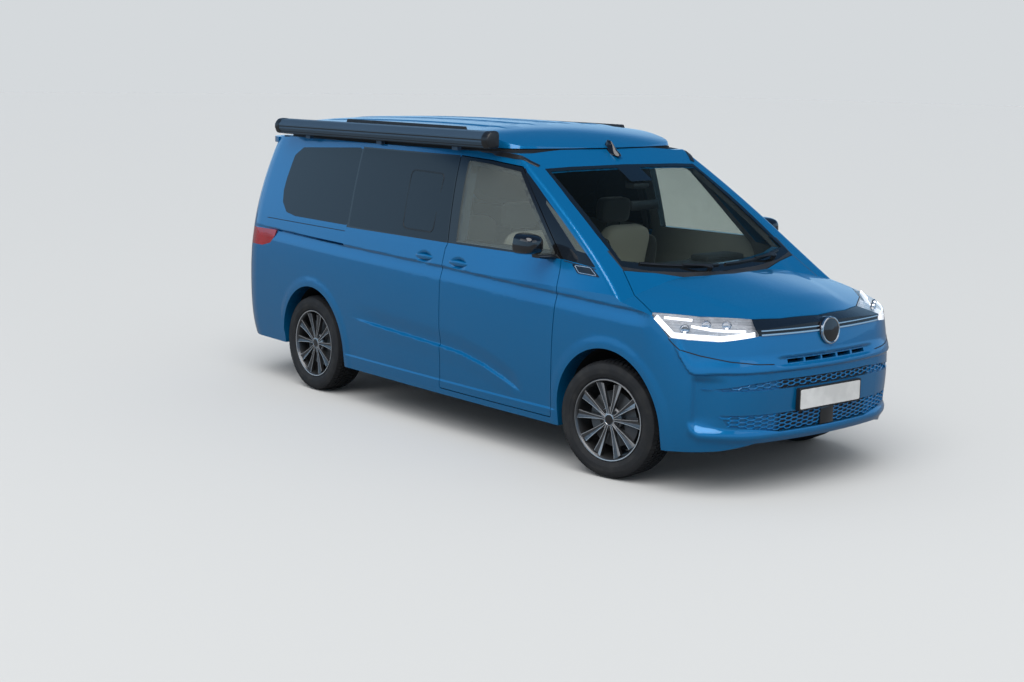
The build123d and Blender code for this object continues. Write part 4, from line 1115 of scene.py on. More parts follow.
@dataclass(frozen=True)
class SideRelief:
    """Creases, cups and arch lips of the flanks. Heights and depths in metres."""

    shoulder: Line = (
        (-2.2, 1.150), (-1.0, 1.113), (0.2, 1.086), (1.25, 1.046), (2.0, 1.016), (2.3, 1.0),
    )
    shoulder_depth: float = 0.0105
    shoulder_fade: float = 0.095
    skirt: Line = (
        (-0.90, 0.625), (-0.5, 0.604), (0.183, 0.572), (0.40, 0.556), (0.62, 0.515), (0.80, 0.462), (0.98, 0.400),
    )
    skirt_depth: float = 0.011
    skirt_fade: float = 0.12
    cups: Line = ((-0.013, 1.124), (0.351, 1.116))
    cup_size: tuple[float, float] = (0.092, 0.047)
    cup_depth: float = 0.016
    arches: Line = ARCHES
    arch_radius: float = ARCH_RADIUS
    lip_width: float = 0.085
    lip_height: float = 0.006
    sill: float = 0.345

    def height(self, p: np.ndarray) -> np.ndarray:
        """How far the surface is pushed out at each point.

        Args:
            p: points, as rows of x, y and z.

        Returns:
            The distance outwards, in metres.
        """
        x, y, z = p[:, 0], p[:, 1], p[:, 2]
        flank = ease(np.abs(y), 0.70, 0.80)
        below = level(x, self.shoulder) - z
        reach = ease(x, -2.3, -1.9) * (1 - ease(x, 1.95, 2.05))
        push = -self.shoulder_depth * ease(below, -0.005, 0.011) * (1 - ease(below, 0.011, self.shoulder_fade)) * reach
        under = z - level(x, self.skirt)
        span = ease(x, -0.90, -0.45) * (1 - ease(x, 0.86, 1.0))
        push -= self.skirt_depth * ease(under, -0.012, 0.004) * (1 - ease(under, 0.004, self.skirt_fade)) * span
        push += 0.004 * ease(-under, 0.0, 0.012) * (1 - ease(-under, 0.012, 0.12)) * span
        for cx, cz in self.cups:
            away = np.hypot((x - cx) / self.cup_size[0], (z - cz) / self.cup_size[1])
            push -= self.cup_depth * bowl(away)
        for cx, cz in self.arches:
            out = np.hypot(x - cx, np.maximum(z - cz, 0)) - self.arch_radius
            out = np.where(z < cz, np.abs(x - cx) - self.arch_radius, out)
            push += self.lip_height * (1 - ease(out, self.lip_width * 0.25, self.lip_width))
        between = ease(x, -1.0, -0.9) * (1 - ease(x, 1.24, 1.32))
        push += 0.006 * (1 - ease(z, self.sill - 0.012, self.sill)) * between
        return push * flank


@dataclass(frozen=True)
class NoseRelief:
    """Ledges and hollows of the front bumper, along a line that runs out from the middle and round the corner."""

    seam: Line = (
        (0.0, 0.752), (0.36, 0.752), (0.547, 0.762), (0.687, 0.780), (0.804, 0.807), (0.958, 0.834), (1.02, 0.866),
    )
    shelf: Line = (
        (0.0, 0.712), (0.17, 0.712), (0.531, 0.714), (0.733, 0.711), (0.80, 0.705), (0.84, 0.703), (0.872, 0.711),
        (0.902, 0.733), (0.94, 0.775), (1.02, 0.866),
    )
    shelf_height: float = 0.012
    lip: Line = ((0.0, 0.342), (0.5, 0.347), (0.67, 0.352), (0.80, 0.362), (0.9, 0.40))
    lip_height: float = 0.014
    fold: float = 0.862
    curtain_depth: float = 0.022
    slot_reach: float = 0.44
    slot_depth: float = 0.013

    @staticmethod
    def round_corner(p: np.ndarray) -> np.ndarray:
        """The distance from the middle, measured round the corner."""
        return np.abs(p[:, 1]) + np.maximum(2.33 - p[:, 0], 0)

    def height(self, p: np.ndarray) -> np.ndarray:
        """How far the surface is pushed out at each point.

        Args:
            p: points, as rows of x, y and z.

        Returns:
            The distance outwards, in metres.
        """
        u, z = self.round_corner(p), p[:, 2]
        over = z - level(u, self.shelf)
        ends = 1 - ease(u, 0.95, 1.02)
        push = self.shelf_height * ease(over, -0.010, 0.004) * (1 - ease(over, 0.004, 0.10)) * ends
        lip = z - level(u, self.lip)
        inside = 1 - ease(u, self.fold - 0.02, self.fold + 0.04)
        push += self.lip_height * np.exp(-((lip / 0.030) ** 2)) * inside
        push -= 0.006 * ease(lip, 0.02, 0.05) * (1 - ease(z, 0.46, 0.70)) * inside
        tall = ease(z, 0.33, 0.47) * (1 - ease(z, 0.655, 0.70))
        scoop = ease(u, 0.68, self.fold - 0.045) * (1 - ease(u, self.fold - 0.040, self.fold + 0.012))
        push -= self.curtain_depth * scoop * tall
        slot = ease(z, 0.738, 0.748) * (1 - ease(z, 0.778, 0.792))
        slot *= 1 - ease(u, self.slot_reach - 0.13, self.slot_reach)
        push -= self.slot_depth * slot
        (cx, cz), _ = ARCHES
        flange = np.hypot(p[:, 0] - cx, np.maximum(z - cz, 0)) - ARCH_RADIUS
        flange = np.where(z < cz, p[:, 0] - cx - ARCH_RADIUS, flange)
        push += 0.006 * (1 - ease(flange, 0.021, 0.085))
        return push


@dataclass(frozen=True)
class BonnetRelief:
    """Two soft ridges and a raised middle on the bonnet."""

    ridge: Line = ((1.62, 0.60), (2.1, 0.50), (2.5, 0.36))
    height_out: float = 0.005

    def height(self, p: np.ndarray) -> np.ndarray:
        """How far the surface is pushed out at each point."""
        inside = level(p[:, 0], self.ridge) - np.abs(p[:, 1])
        rise = ease(inside, -0.06, 0.05)
        return self.height_out * rise * (1 - 0.5 * ease(inside, 0.03, 0.4)) * (1 - ease(p[:, 0], 2.2, 2.42))


@dataclass(frozen=True)
class RoofRelief:
    """Lengthwise ribs along the lifting roof."""

    ribs: tuple[float, ...] = (0.16, 0.42)
    rib_width: float = 0.075
    rib_height: float = 0.007
    rear: float = -1.95
    front: float = 0.28

    def height(self, p: np.ndarray) -> np.ndarray:
        """How far the surface is pushed out at each point."""
        run = ease(p[:, 0], self.rear, self.rear + 0.15) * (1 - ease(p[:, 0], self.front - 0.2, self.front))
        push = np.zeros(len(p))
        for place in self.ribs:
            off = np.abs(np.abs(p[:, 1]) - place)
            push += self.rib_height * (1 - ease(off, self.rib_width - 0.022, self.rib_width)) * run
        return push


@dataclass(frozen=True)
class TailRelief:
    """A hollow for the number plate and a crease under the glass of the tailgate."""

    plate: tuple[float, float, float, float] = (0.0, 0.86, 0.33, 0.105)

    def height(self, p: np.ndarray) -> np.ndarray:
        """How far the surface is pushed out at each point."""
        y, z = p[:, 1], p[:, 2]
        cy, cz, half, tall = self.plate
        box = np.maximum(np.abs(y - cy) - half, np.abs(z - cz) - tall)
        push = -0.018 * (1 - ease(box, -0.012, 0.006))
        under = 1.105 - z
        push -= 0.006 * ease(under, -0.004, 0.010) * (1 - ease(under, 0.010, 0.09)) * (1 - ease(np.abs(y), 0.80, 0.9))
        return push


class Pressed:
    """A packed panel whose outer faces are cut finer, pushed in or out, and shaded by the exact slopes."""

    def __init__(self, node: str) -> None:
        """Reads a node's triangles and their corner normals.

        Args:
            node: the CAD node.
        """
        self.node = node
        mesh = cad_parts[node].data
        corners = np.empty(len(mesh.loops), dtype=np.int32)
        mesh.loops.foreach_get("vertex_index", corners)
        points = np.empty(len(mesh.vertices) * 3)
        mesh.vertices.foreach_get("co", points)
        self.corner_points = points.reshape(-1, 3)[corners].reshape(-1, 3, 3)
        normals = np.empty(len(mesh.loops) * 3, dtype=np.float32)
        mesh.corner_normals.foreach_get("vector", normals)
        self.corner_normals = normals.astype(float).reshape(-1, 3, 3)
        self.work = bmesh.new()
        source = self.work.faces.layers.int.new("source")
        self.pressed = self.work.faces.layers.int.new("pressed")
        made: dict[tuple[float, float, float], bmesh.types.BMVert] = {}
        for number, triangle in enumerate(self.corner_points):
            keys = [tuple(np.round(p, 6)) for p in triangle]
            if len(set(keys)) < 3:
                continue
            for key in keys:
                if key not in made:
                    made[key] = self.work.verts.new(key)
            try:
                face = self.work.faces.new([made[k] for k in keys])
            except ValueError:
                continue
            face[source] = number
        self.source = source

    def choose(self, test: Callable[[Vector, Vector], bool]) -> None:
        """Marks the faces that are pressed.

        Args:
            test: tells, from a face's middle and direction, whether it is pressed.
        """
        self.work.normal_update()
        for face in self.work.faces:
            face[self.pressed] = int(test(face.calc_center_median(), face.normal))

    def cut(self, axis: int, places: Iterable[float]) -> None:
        """Cuts the marked faces along planes.

        Args:
            axis: 0, 1 or 2.
            places: the planes' places on the axis.
        """
        way = Vector([float(i == axis) for i in range(3)])
        live = [self._span(f, axis) for f in self.work.faces if f[self.pressed]]
        for place in sorted(places):
            live = [item for item in live if item[2] > place + 1e-6]
            crossing = [item[0] for item in live if item[1] < place - 1e-6]
            if not crossing:
                continue
            live = [item for item in live if item[1] >= place - 1e-6]
            edges = {e for f in crossing for e in f.edges}
            result = bmesh.ops.bisect_plane(
                self.work, geom=[*crossing, *edges], plane_co=way * place, plane_no=way, dist=1e-6
            )
            live += [
                self._span(g, axis) for g in result["geom"] if isinstance(g, bmesh.types.BMFace) and g[self.pressed]
            ]

    @staticmethod
    def _span(face: bmesh.types.BMFace, axis: int) -> tuple[bmesh.types.BMFace, float, float]:
        """A face with its lowest and highest place on an axis."""
        places = [v.co[axis] for v in face.verts]
        return face, min(places), max(places)

    def finish(self, height: Callable[[np.ndarray], np.ndarray]) -> Piece:
        """Pushes the surface out and gives each corner its true normal.

        Args:
            height: the relief.

        Returns:
            The pressed piece.
        """
        work = self.work
        work.verts.index_update()
        points = np.array([v.co for v in work.verts])
        corner_of = np.array([loop.vert.index for f in work.faces for loop in f.loops])
        source = np.array([f[self.source] for f in work.faces for _ in f.loops])
        marked = np.array([f[self.pressed] for f in work.faces for _ in f.loops], dtype=bool)
        a, b, c = (self.corner_points[source, k] for k in range(3))
        here = points[corner_of]
        v0, v1, v2 = b - a, c - a, here - a
        d00, d01, d11 = (v0 * v0).sum(1), (v0 * v1).sum(1), (v1 * v1).sum(1)
        d20, d21 = (v2 * v0).sum(1), (v2 * v1).sum(1)
        whole = np.maximum(d00 * d11 - d01 * d01, 1e-18)
        v = np.clip((d11 * d20 - d01 * d21) / whole, 0, 1)
        w = np.clip((d00 * d21 - d01 * d20) / whole, 0, 1)
        u = np.clip(1 - v - w, 0, 1)
        na, nb, nc = (self.corner_normals[source, k] for k in range(3))
        normal = na * u[:, None] + nb * v[:, None] + nc * w[:, None]
        normal /= np.maximum(np.linalg.norm(normal, axis=1), 1e-9)[:, None]
        at_vertex = np.zeros_like(points)
        np.add.at(at_vertex, corner_of[marked], normal[marked])
        size = np.linalg.norm(at_vertex, axis=1)
        moving = size > 1e-6
        at_vertex[moving] /= size[moving][:, None]
        pushed = points.copy()
        pushed[moving] += at_vertex[moving] * height(points[moving])[:, None]
        side = np.cross(normal, np.where(np.abs(normal[:, 2:3]) < 0.8, [[0, 0, 1.0]], [[1.0, 0, 0]]))
        side /= np.maximum(np.linalg.norm(side, axis=1), 1e-9)[:, None]
        other = np.cross(normal, side)
        step = 0.001
        tilted = normal.copy()
        for way in (side, other):
            slope = (height(here + way * step) - height(here - way * step)) / (2 * step)
            tilted -= way * (slope * marked)[:, None]
        tilted /= np.maximum(np.linalg.norm(tilted, axis=1), 1e-9)[:, None]
        faces = [[loop.vert.index for loop in f.loops] for f in work.faces]
        made = new_object(self.node, pushed.tolist(), faces)
        made.data.polygons.foreach_set("use_smooth", [True] * len(made.data.polygons))
        made.data.normals_split_custom_set([tuple(n) for n in tilted])
        work.free()
        return made


def spaced(low: float, high: float, step: float) -> list[float]:
    """Even places from low to high."""
    return [float(v) for v in np.arange(low, high + step / 2, step)]


@dataclass(frozen=True)
class BodyPanels:
    """All outer panels that carry creases."""

    side: SideRelief = SideRelief()
    nose: NoseRelief = NoseRelief()
    bonnet: BonnetRelief = BonnetRelief()
    roof: RoofRelief = RoofRelief()
    tail: TailRelief = TailRelief()

    def build(self) -> None:
        """Presses and dresses each panel."""
        for node, body, low, high, finish in (
            ("body_shell", "van", -2.45, 2.35, "lined_lacquer"),
            ("sliding_doors", "van", -1.06, 0.22, "door_lacquer"),
            ("door_right", "door_right_body", 0.14, 1.30, "door_lacquer"),
            ("door_left", "door_left_body", 0.14, 1.30, "door_lacquer"),
        ):
            cuts = [
                (2, spaced(0.26, 0.32, 0.02) + spaced(0.327, 0.352, 0.0042) + spaced(0.370, 0.66, 0.0085)),
                (2, spaced(0.68, 1.0, 0.03)),
                (2, spaced(1.008, 1.20, 0.008)),
                (0, spaced(low, high, 0.028)),
            ]
            if node != "body_shell":
                cuts.append((0, spaced(0.254, 1.01, 0.014)))
            cuts += [(0, spaced(x - 0.095, x + 0.095, 0.007)) for x, _ in self.side.cups]
            if node == "body_shell":
                cuts += [(0, spaced(x - 0.475, x + 0.475, 0.019)) for x, _ in self.side.arches]
            self._press(
                node, body, finish, self.side, cuts,
                lambda c, n: n.y * c.y > 0.25 * abs(c.y) and abs(c.y) > 0.78 and c.z < 1.22,
            )
        across = spaced(-0.90, 0.90, 0.022) + spaced(0.78, 0.88, 0.008) + spaced(-0.88, -0.78, 0.008)
        self._press(
            "front_bumper", "van", "lacquer", self.nose,
            [(2, spaced(0.25, 0.92, 0.010)), (1, across), (0, spaced(1.98, 2.34, 0.016))],
            lambda c, n: n.x > 0.15 or n.y * c.y > 0.3 * abs(c.y),
        )
        self._press(
            "bonnet", "bonnet_body", "lacquer", self.bonnet,
            [(1, spaced(-0.80, 0.80, 0.02)), (0, spaced(1.64, 2.48, 0.06))],
            lambda c, n: n.z > 0.2,
        )
        self._press(
            "pop_roof", "pop_roof_body", "lacquer", self.roof,
            [(1, spaced(-0.52, 0.52, 0.011)), (0, spaced(-2.0, 0.4, 0.06))],
            lambda c, n: n.z > 0.3,
        )
        self._press(
            "tailgate", "tailgate_body", "lined_lacquer", self.tail,
            [(2, spaced(0.58, 1.13, 0.011)), (1, spaced(-0.88, 0.88, 0.02))],
            lambda c, n: n.x < -0.3 and c.z < 1.14,
        )

    @staticmethod
    def _press(node: str, body: str, finish: str, relief: object, cuts: list, test: Callable) -> None:
        """Presses one panel and dresses it.

        Args:
            node: the CAD node.
            body: its body.
            finish: its finish.
            relief: the shape that is pressed in.
            cuts: (axis, places) of the planes that make its faces finer.
            test: tells from a face's middle and direction whether it is pressed.
        """
        panel = Pressed(node)
        panel.choose(test)
        for axis, places in cuts:
            panel.cut(axis, places)
        dress(panel.finish(relief.height), body, finish, [node], None)


# ---- repeats
def scatter_group() -> bpy.types.NodeTree:
    """Builds the tree that sets a cell on every point, turned and sized by the point's own values.

    Returns:
        The node tree, with Cell, Size and Finish as inputs.
    """
    tree = bpy.data.node_groups.new("scatter", "GeometryNodeTree")
    face = tree.interface
    face.new_socket("Geometry", in_out="INPUT", socket_type="NodeSocketGeometry")
    face.new_socket("Cell", in_out="INPUT", socket_type="NodeSocketObject")
    face.new_socket("Size", in_out="INPUT", socket_type="NodeSocketFloat").default_value = 1.0
    face.new_socket("Finish", in_out="INPUT", socket_type="NodeSocketMaterial")
    face.new_socket("Geometry", in_out="OUTPUT", socket_type="NodeSocketGeometry")
    work = Nodes(tree)
    given = work.node("NodeGroupInput").outputs
    cell = work.node("GeometryNodeObjectInfo", Object=given["Cell"])
    turn, size = (
        work.node("GeometryNodeInputNamedAttribute", {"data_type": "FLOAT_VECTOR"}, Name=name).outputs["Attribute"]
        for name in ("turn", "size")
    )
    scaled = work.node("ShaderNodeVectorMath", {"operation": "SCALE"}, Vector=size, Scale=given["Size"])
    copies = work.node(
        "GeometryNodeInstanceOnPoints", Points=given["Geometry"], Instance=cell.outputs["Geometry"], Rotation=turn,
        Scale=scaled.outputs["Vector"],
    )
    real = work.node("GeometryNodeRealizeInstances", Geometry=copies.outputs[0])
    coat = work.node("GeometryNodeSetMaterial", Geometry=real.outputs[0], Material=given["Finish"])
    work.node("NodeGroupOutput", Geometry=coat.outputs[0])
    return tree


@dataclass(frozen=True)
class Spot:
    """One copy's place, turn and size."""

    at: Point
    turn: Point = (0.0, 0.0, 0.0)
    size: Point = (1.0, 1.0, 1.0)


def scattered(name: str, cell: Piece, spots: Sequence[Spot], finish: str) -> Piece:
    """Copies a cell to many places as one plain mesh, and removes the cell.

    Args:
        name: the piece's name.
        cell: the shape to repeat.
        spots: where each copy stands.
        finish: its finish's name in the palette.

    Returns:
        The plain mesh object.
    """
    host = new_object(name + "_points", [s.at for s in spots], [])
    for key in ("turn", "size"):
        values = host.data.attributes.new(key, "FLOAT_VECTOR", "POINT")
        values.data.foreach_set("vector", [float(c) for s in spots for c in getattr(s, key)])
    tree = bpy.data.node_groups.get("scatter") or scatter_group()
    modifier = host.modifiers.new("scatter", "NODES")
    modifier.node_group = tree
    keys = {item.name: item.identifier for item in tree.interface.items_tree if item.in_out == "INPUT"}
    modifier[keys["Cell"]] = cell
    modifier[keys["Size"]] = 1.0
    modifier[keys["Finish"]] = Palette.get(finish)
    graph = bpy.context.evaluated_depsgraph_get()
    mesh = bpy.data.meshes.new_from_object(host.evaluated_get(graph), depsgraph=graph)
    made = bpy.data.objects.new(name, mesh)
    bpy.context.scene.collection.objects.link(made)
    host.modifiers.remove(modifier)
    for old in (host, cell):
        bpy.data.objects.remove(old)
    return made


def block(name: str, size: Point, chamfer: float = 0.0, at: Point = (0, 0, 0)) -> Piece:
    """A box with bevelled edges.

    Args:
        name: the piece's name.
        size: its three sizes.
        chamfer: the bevel's width.
        at: its middle.

    Returns:
        The box.
    """
    x, y, z = (s / 2 for s in size)
    ends = (-1, 1)
    points = [(at[0] + a * x, at[1] + b * y, at[2] + c * z) for a in ends for b in ends for c in ends]
    faces = [(0, 1, 3, 2), (4, 6, 7, 5), (0, 4, 5, 1), (2, 3, 7, 6), (0, 2, 6, 4), (1, 5, 7, 3)]
    made = new_object(name, points, faces)
    if chamfer:
        work = bmesh.new()
        work.from_mesh(made.data)
        bmesh.ops.bevel(work, geom=work.edges[:], offset=chamfer, segments=2, affect="EDGES", profile=0.5)
        work.to_mesh(made.data)
        work.free()
    return made


def placed(made: Piece, move: Matrix) -> Piece:
    """Moves a piece's own mesh, so that its object stays unturned at the origin."""
    made.data.transform(move)
    return made


# ---- seams, gutters, handles
@dataclass(frozen=True)
class SideTrim:
    """Seams, handles, strips and window details of both flanks."""

    seams: tuple[Line, ...] = (
        ((-2.07, 1.216), (-0.975, 1.209)),
        ((1.245, 1.240), (1.262, 1.232), (1.56, 1.206)),
    )
    seam_width: float = 0.005
    handles: Line = ((-0.013, 1.124), (0.351, 1.116))
    handle_length: float = 0.200
    pane: Line = ((-0.289, 1.673), (0.062, 1.665), (0.042, 1.288), (-0.292, 1.291))
    gutter: tuple[Point, ...] = (
        (-2.05, 0.742, 1.82), (-1.0, 0.764, 1.82), (0.0, 0.757, 1.82), (0.41, 0.755, 1.815), (0.60, 0.742, 1.805),
        (0.69, 0.730, 1.795), (0.75, 0.708, 1.775), (0.80, 0.675, 1.755),
    )
    strip: Line = ((1.371, 1.216), (1.520, 1.214), (1.600, 1.166), (1.430, 1.171))

    def build(self) -> None:
        """Makes both sides' trim."""
        body = Skin(["body_shell", "front_bumper", "headlamps", "bonnet"])
        glass = Skin(["side_glass", "sliding_doors", "body_shell"])
        for side, word in SIDES:
            self._seams(body, side, word)
            self._handles(side, word)
            self._pane(glass, side, word)
            self._strip(body, side, word)
            self._gutter(body, side, word)

    def _seams(self, skin: Skin, side: float, word: str) -> None:
        """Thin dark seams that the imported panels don't part at."""
        parts = []
        for line in self.seams:
            spots = densified([(x, 0, z) for x, z in line], 0.03)
            path, ups = traced((skin.side(p.x, p.z, side) for p in spots), 0.0)
            parts.append(sweep("seam", path, ups, pad_section(self.seam_width, -0.004, 0.0006, 0.0003)))
        dress(joined(f"side_seams_{word}", parts), "van", "rubber")

    def _handles(self, side: float, word: str) -> None:
        """Flap handles that bridge their cups."""
        for node, owner, (x, z) in (
            ("sliding_doors", "van", self.handles[0]),
            (f"door_{word}", f"door_{word}_body", self.handles[1]),
        ):
            skin = Skin([node])
            loops = []
            for k in range(15):
                t = k / 14
                point, out = skin.side(x - self.handle_length / 2 + self.handle_length * t, z + 0.004, side)
                swell = math.sin(math.pi * t) ** 0.5 if 0 < t < 1 else 0.0
                tall, proud = 0.004 + 0.0135 * swell, 0.002 + 0.010 * swell
                middle = point + out * (proud * 0.45 - 0.004)
                loops.append([middle + UP * (tall * c) + out * (proud * 0.55 * s) for c, s in circle(12)])
            dress(rings(f"handle_{owner}_{word}", loops), owner, "lacquer", smooth_deg=60)

    def _pane(self, skin: Skin, side: float, word: str) -> None:
        """The black outline of the small sliding window."""
        outline = rounded([(x, 0, z) for x, z in self.pane], 0.045)
        path, ups = traced((skin.side(p.x, p.z, side) for p in outline), 0.0008)
        made = sweep(f"window_frame_{word}", path, ups, pad_section(0.010, -0.003, 0.0012, 0.0008), round_trip=True)
        dress(made, "van", "satin_black")

    def _strip(self, skin: Skin, side: float, word: str) -> None:
        """A bare dark strip with a bright border under the front corner window."""
        corners = [Vector((x, 0, z)) for x, z in self.strip]
        middle = sum(corners, Vector()) / 4
        rims = []
        for share, lift in ((1.06, 0.0035), (0.84, 0.0045)):
            outline = rounded([middle + (c - middle) * share for c in corners], 0.010, 3)
            rims.append(traced((skin.side(p.x, p.z, side) for p in densified(outline, 0.02, True)), lift))
        path, ups = rims[0]
        plate = rings(f"fender_strip_{word}", [[p - u * 0.007 for p, u in zip(path, ups)], path])
        dress(plate, "van", "gloss_black")
        section = pad_section(0.0045, -0.004, 0.0006, 0.0003)
        line = sweep(f"fender_strip_line_{word}", *rims[1], section, round_trip=True)
        dress(line, "van", "chrome")

    def _gutter(self, skin: Skin, side: float, word: str) -> None:
        """The black moulding along the roof's edge, down to the top of the windscreen pillar."""
        path, ups = [], []
        for p in densified([(x, side * y, z) for x, y, z in self.gutter], 0.04):
            point, out = skin.tree.find_nearest(p)[:2]
            path.append(point + out * 0.001)
            ups.append(out if out.y * side > 0 or out.z > 0 else -out)
        made = sweep(f"gutter_{word}", path, ups, pad_section(0.032, -0.006, 0.004, 0.003))
        dress(made, "van", "satin_black")


# ---- the nose
@dataclass(frozen=True)
class NoseTrim:
    """Honeycomb, plate, boss, bright lines and seams of the front."""

    cell: tuple[float, float] = (0.058, 0.0235)
    strut: float = 0.0032
    openings: Line = ((0.40, 0.50), (0.60, 0.715))
    plate_size: tuple[float, float] = (0.520, 0.110)
    plate_height: float = 0.541
    radar_height: float = 0.425
    boss_height: float = 0.908
    boss_radius: float = 0.078
    boss_axis: Point = (1, 0, 0.10)
    line_end: float = 0.509
    seam: tuple[Point, ...] = (
        (2.165, 0.888, 0.889), (2.190, 0.881, 0.866), (2.235, 0.863, 0.832), (2.331, 0.804, 0.807),
        (2.445, 0.687, 0.778), (2.518, 0.547, 0.760), (2.545, 0.440, 0.754),
    )

    def build(self) -> None:
        """Makes all of the nose's trim."""
        self._mesh()
        self._plate()
        self._boss()
        self._lines()
        self._seams()

    @staticmethod
    def _opening(black: Skin, y: float, z: float) -> Hit | None:
        """The floor of a front opening at a place, and the way it faces, where there is one."""
        hit = black.cast((3.4, y, z), (-1, 0, 0))
        return hit if hit is not None and hit[0].x > 2.2 else None

    def _mesh(self) -> None:
        """Honeycomb struts over both openings, in the body's colour."""
        black = Skin(["grilles"])
        wide, tall = self.cell
        step = wide * 0.75
        spots = []
        for low, high in self.openings:
            for column in range(-20, 21):
                for row in range(-1, int((high - low) / tall) + 3):
                    y = column * step
                    z = low + row * tall + (tall / 2 if column % 2 else 0)
                    if self._opening(black, y, z) is not None:
                        spots.append(Spot((0.0, y, z)))
        hexagon = ((1, 0), (0.5, 1), (-0.5, 1), (-1, 0), (-0.5, -1), (0.5, -1))
        outer = [(wide / 2 * c, tall / 2 * s) for c, s in hexagon]
        inner = [(y * (1 - self.strut / wide * 3.2), z * (1 - self.strut / tall * 2.4)) for y, z in outer]
        loops = [
            [(x, y, z) for y, z in outline]
            for x, outline in ((-0.006, outer), (0.004, outer), (0.002, inner), (-0.012, inner))
        ]
        made = scattered("front_honeycomb", rings("hexagon", loops, caps=False), spots, "lacquer")
        work = bmesh.new()
        work.from_mesh(made.data)
        outside = []
        for vertex in work.verts:
            hit = self._opening(black, vertex.co.y, vertex.co.z)
            if hit is None:
                outside.append(vertex)
            else:
                vertex.co = hit[0] + hit[1] * (vertex.co.x + 0.003)
        bmesh.ops.delete(work, geom=outside, context="VERTS")
        work.to_mesh(made.data)
        work.free()
        dress(made, "van", "lacquer", smooth_deg=30, outward=False)

    def _plate(self) -> None:
        """A blank number plate and its frame, standing flat at the bumper's front, and the cover of the sensor below.
        """
        front = Skin(["front_bumper"]).front(0, self.plate_height)[0].x
        for name, grow, low, high, finish, slot in (
            ("front_plate_frame", 0.010, 0.0, 0.010, "satin_black", "black_plastic"),
            ("front_plate", 0.0, 0.009, 0.013, "plate", "body_trim"),
        ):
            half, tall = (size / 2 + grow for size in self.plate_size)
            corners = [(0, a * half, self.plate_height + b * tall) for a, b in ((-1, -1), (1, -1), (1, 1), (-1, 1))]
            outline = rounded(corners, 0.010, 4)
            loops = [[(front + d, p.y, p.z) for p in outline] for d in (low - 0.014, high)]
            dress(rings(name, loops), "van", finish)
        behind = Skin(["grilles", "front_bumper"]).front(0, self.radar_height)[0].x
        radar = block("radar_cover", (0.040, 0.115, 0.105), 0.004, (behind - 0.008, 0, self.radar_height))
        dress(radar, "van", "gloss_black")

    def _boss(self) -> None:
        """A round boss without any sign."""
        front = Skin(["grilles", "front_bumper"]).front(0, self.boss_height)[0]
        r = self.boss_radius
        for name, profile, slot, finish in (
            (
                "nose_boss",
                [(-0.03, 0.001), (-0.03, r), (0.012, r), (0.018, r - 0.004), (0.019, r - 0.010), (0.022, 0.001)],
                "black_plastic", "gloss_black",
            ),
            (
                "nose_boss_ring",
                [(0.010, r + 0.001), (0.020, r - 0.001), (0.0225, r - 0.006), (0.0205, r - 0.011), (0.012, r - 0.012)],
                "body_trim", "chrome",
            ),
        ):
            dress(turned(name, profile, front, self.boss_axis), "van", finish)

    def _lines(self) -> None:
        """Two bright lines along the black bar between the lamps."""
        skin = Skin(["grilles", "headlamps", "front_bumper"])
        start = self.boss_radius + 0.004
        reach = [start + (self.line_end - start) * k / 22 for k in range(23)]
        parts = []
        for height, wide in ((0.938, 0.009), (0.915, 0.011)):
            for side in (RIGHT, LEFT):
                path, ups = traced((skin.front(side * y, height + y * 0.004) for y in reach), 0.003)
                parts.append(sweep("line", path, ups, pad_section(wide, -0.004, 0.004, 0.002)))
        dress(joined("grille_lines", parts), "van", "chrome")

    def _seams(self) -> None:
        """The dark seam from the lamps to the air slots."""
        skin = Skin(["front_bumper"])
        relief = NoseRelief()
        parts = []
        for side in (RIGHT, LEFT):
            path, ups = [], []
            for p in densified([(x, side * y, z) for x, y, z in self.seam], 0.02):
                spot, out = skin.tree.find_nearest(p)[:2]
                push = float(relief.height(np.array([spot]))[0])
                path.append(spot + out * (push + 0.0004))
                ups.append(out)
            parts.append(sweep("seam", path, ups, pad_section(0.006, -0.004, 0.0004, 0.0002)))
        dress(joined("front_seams", parts), "van", "rubber")


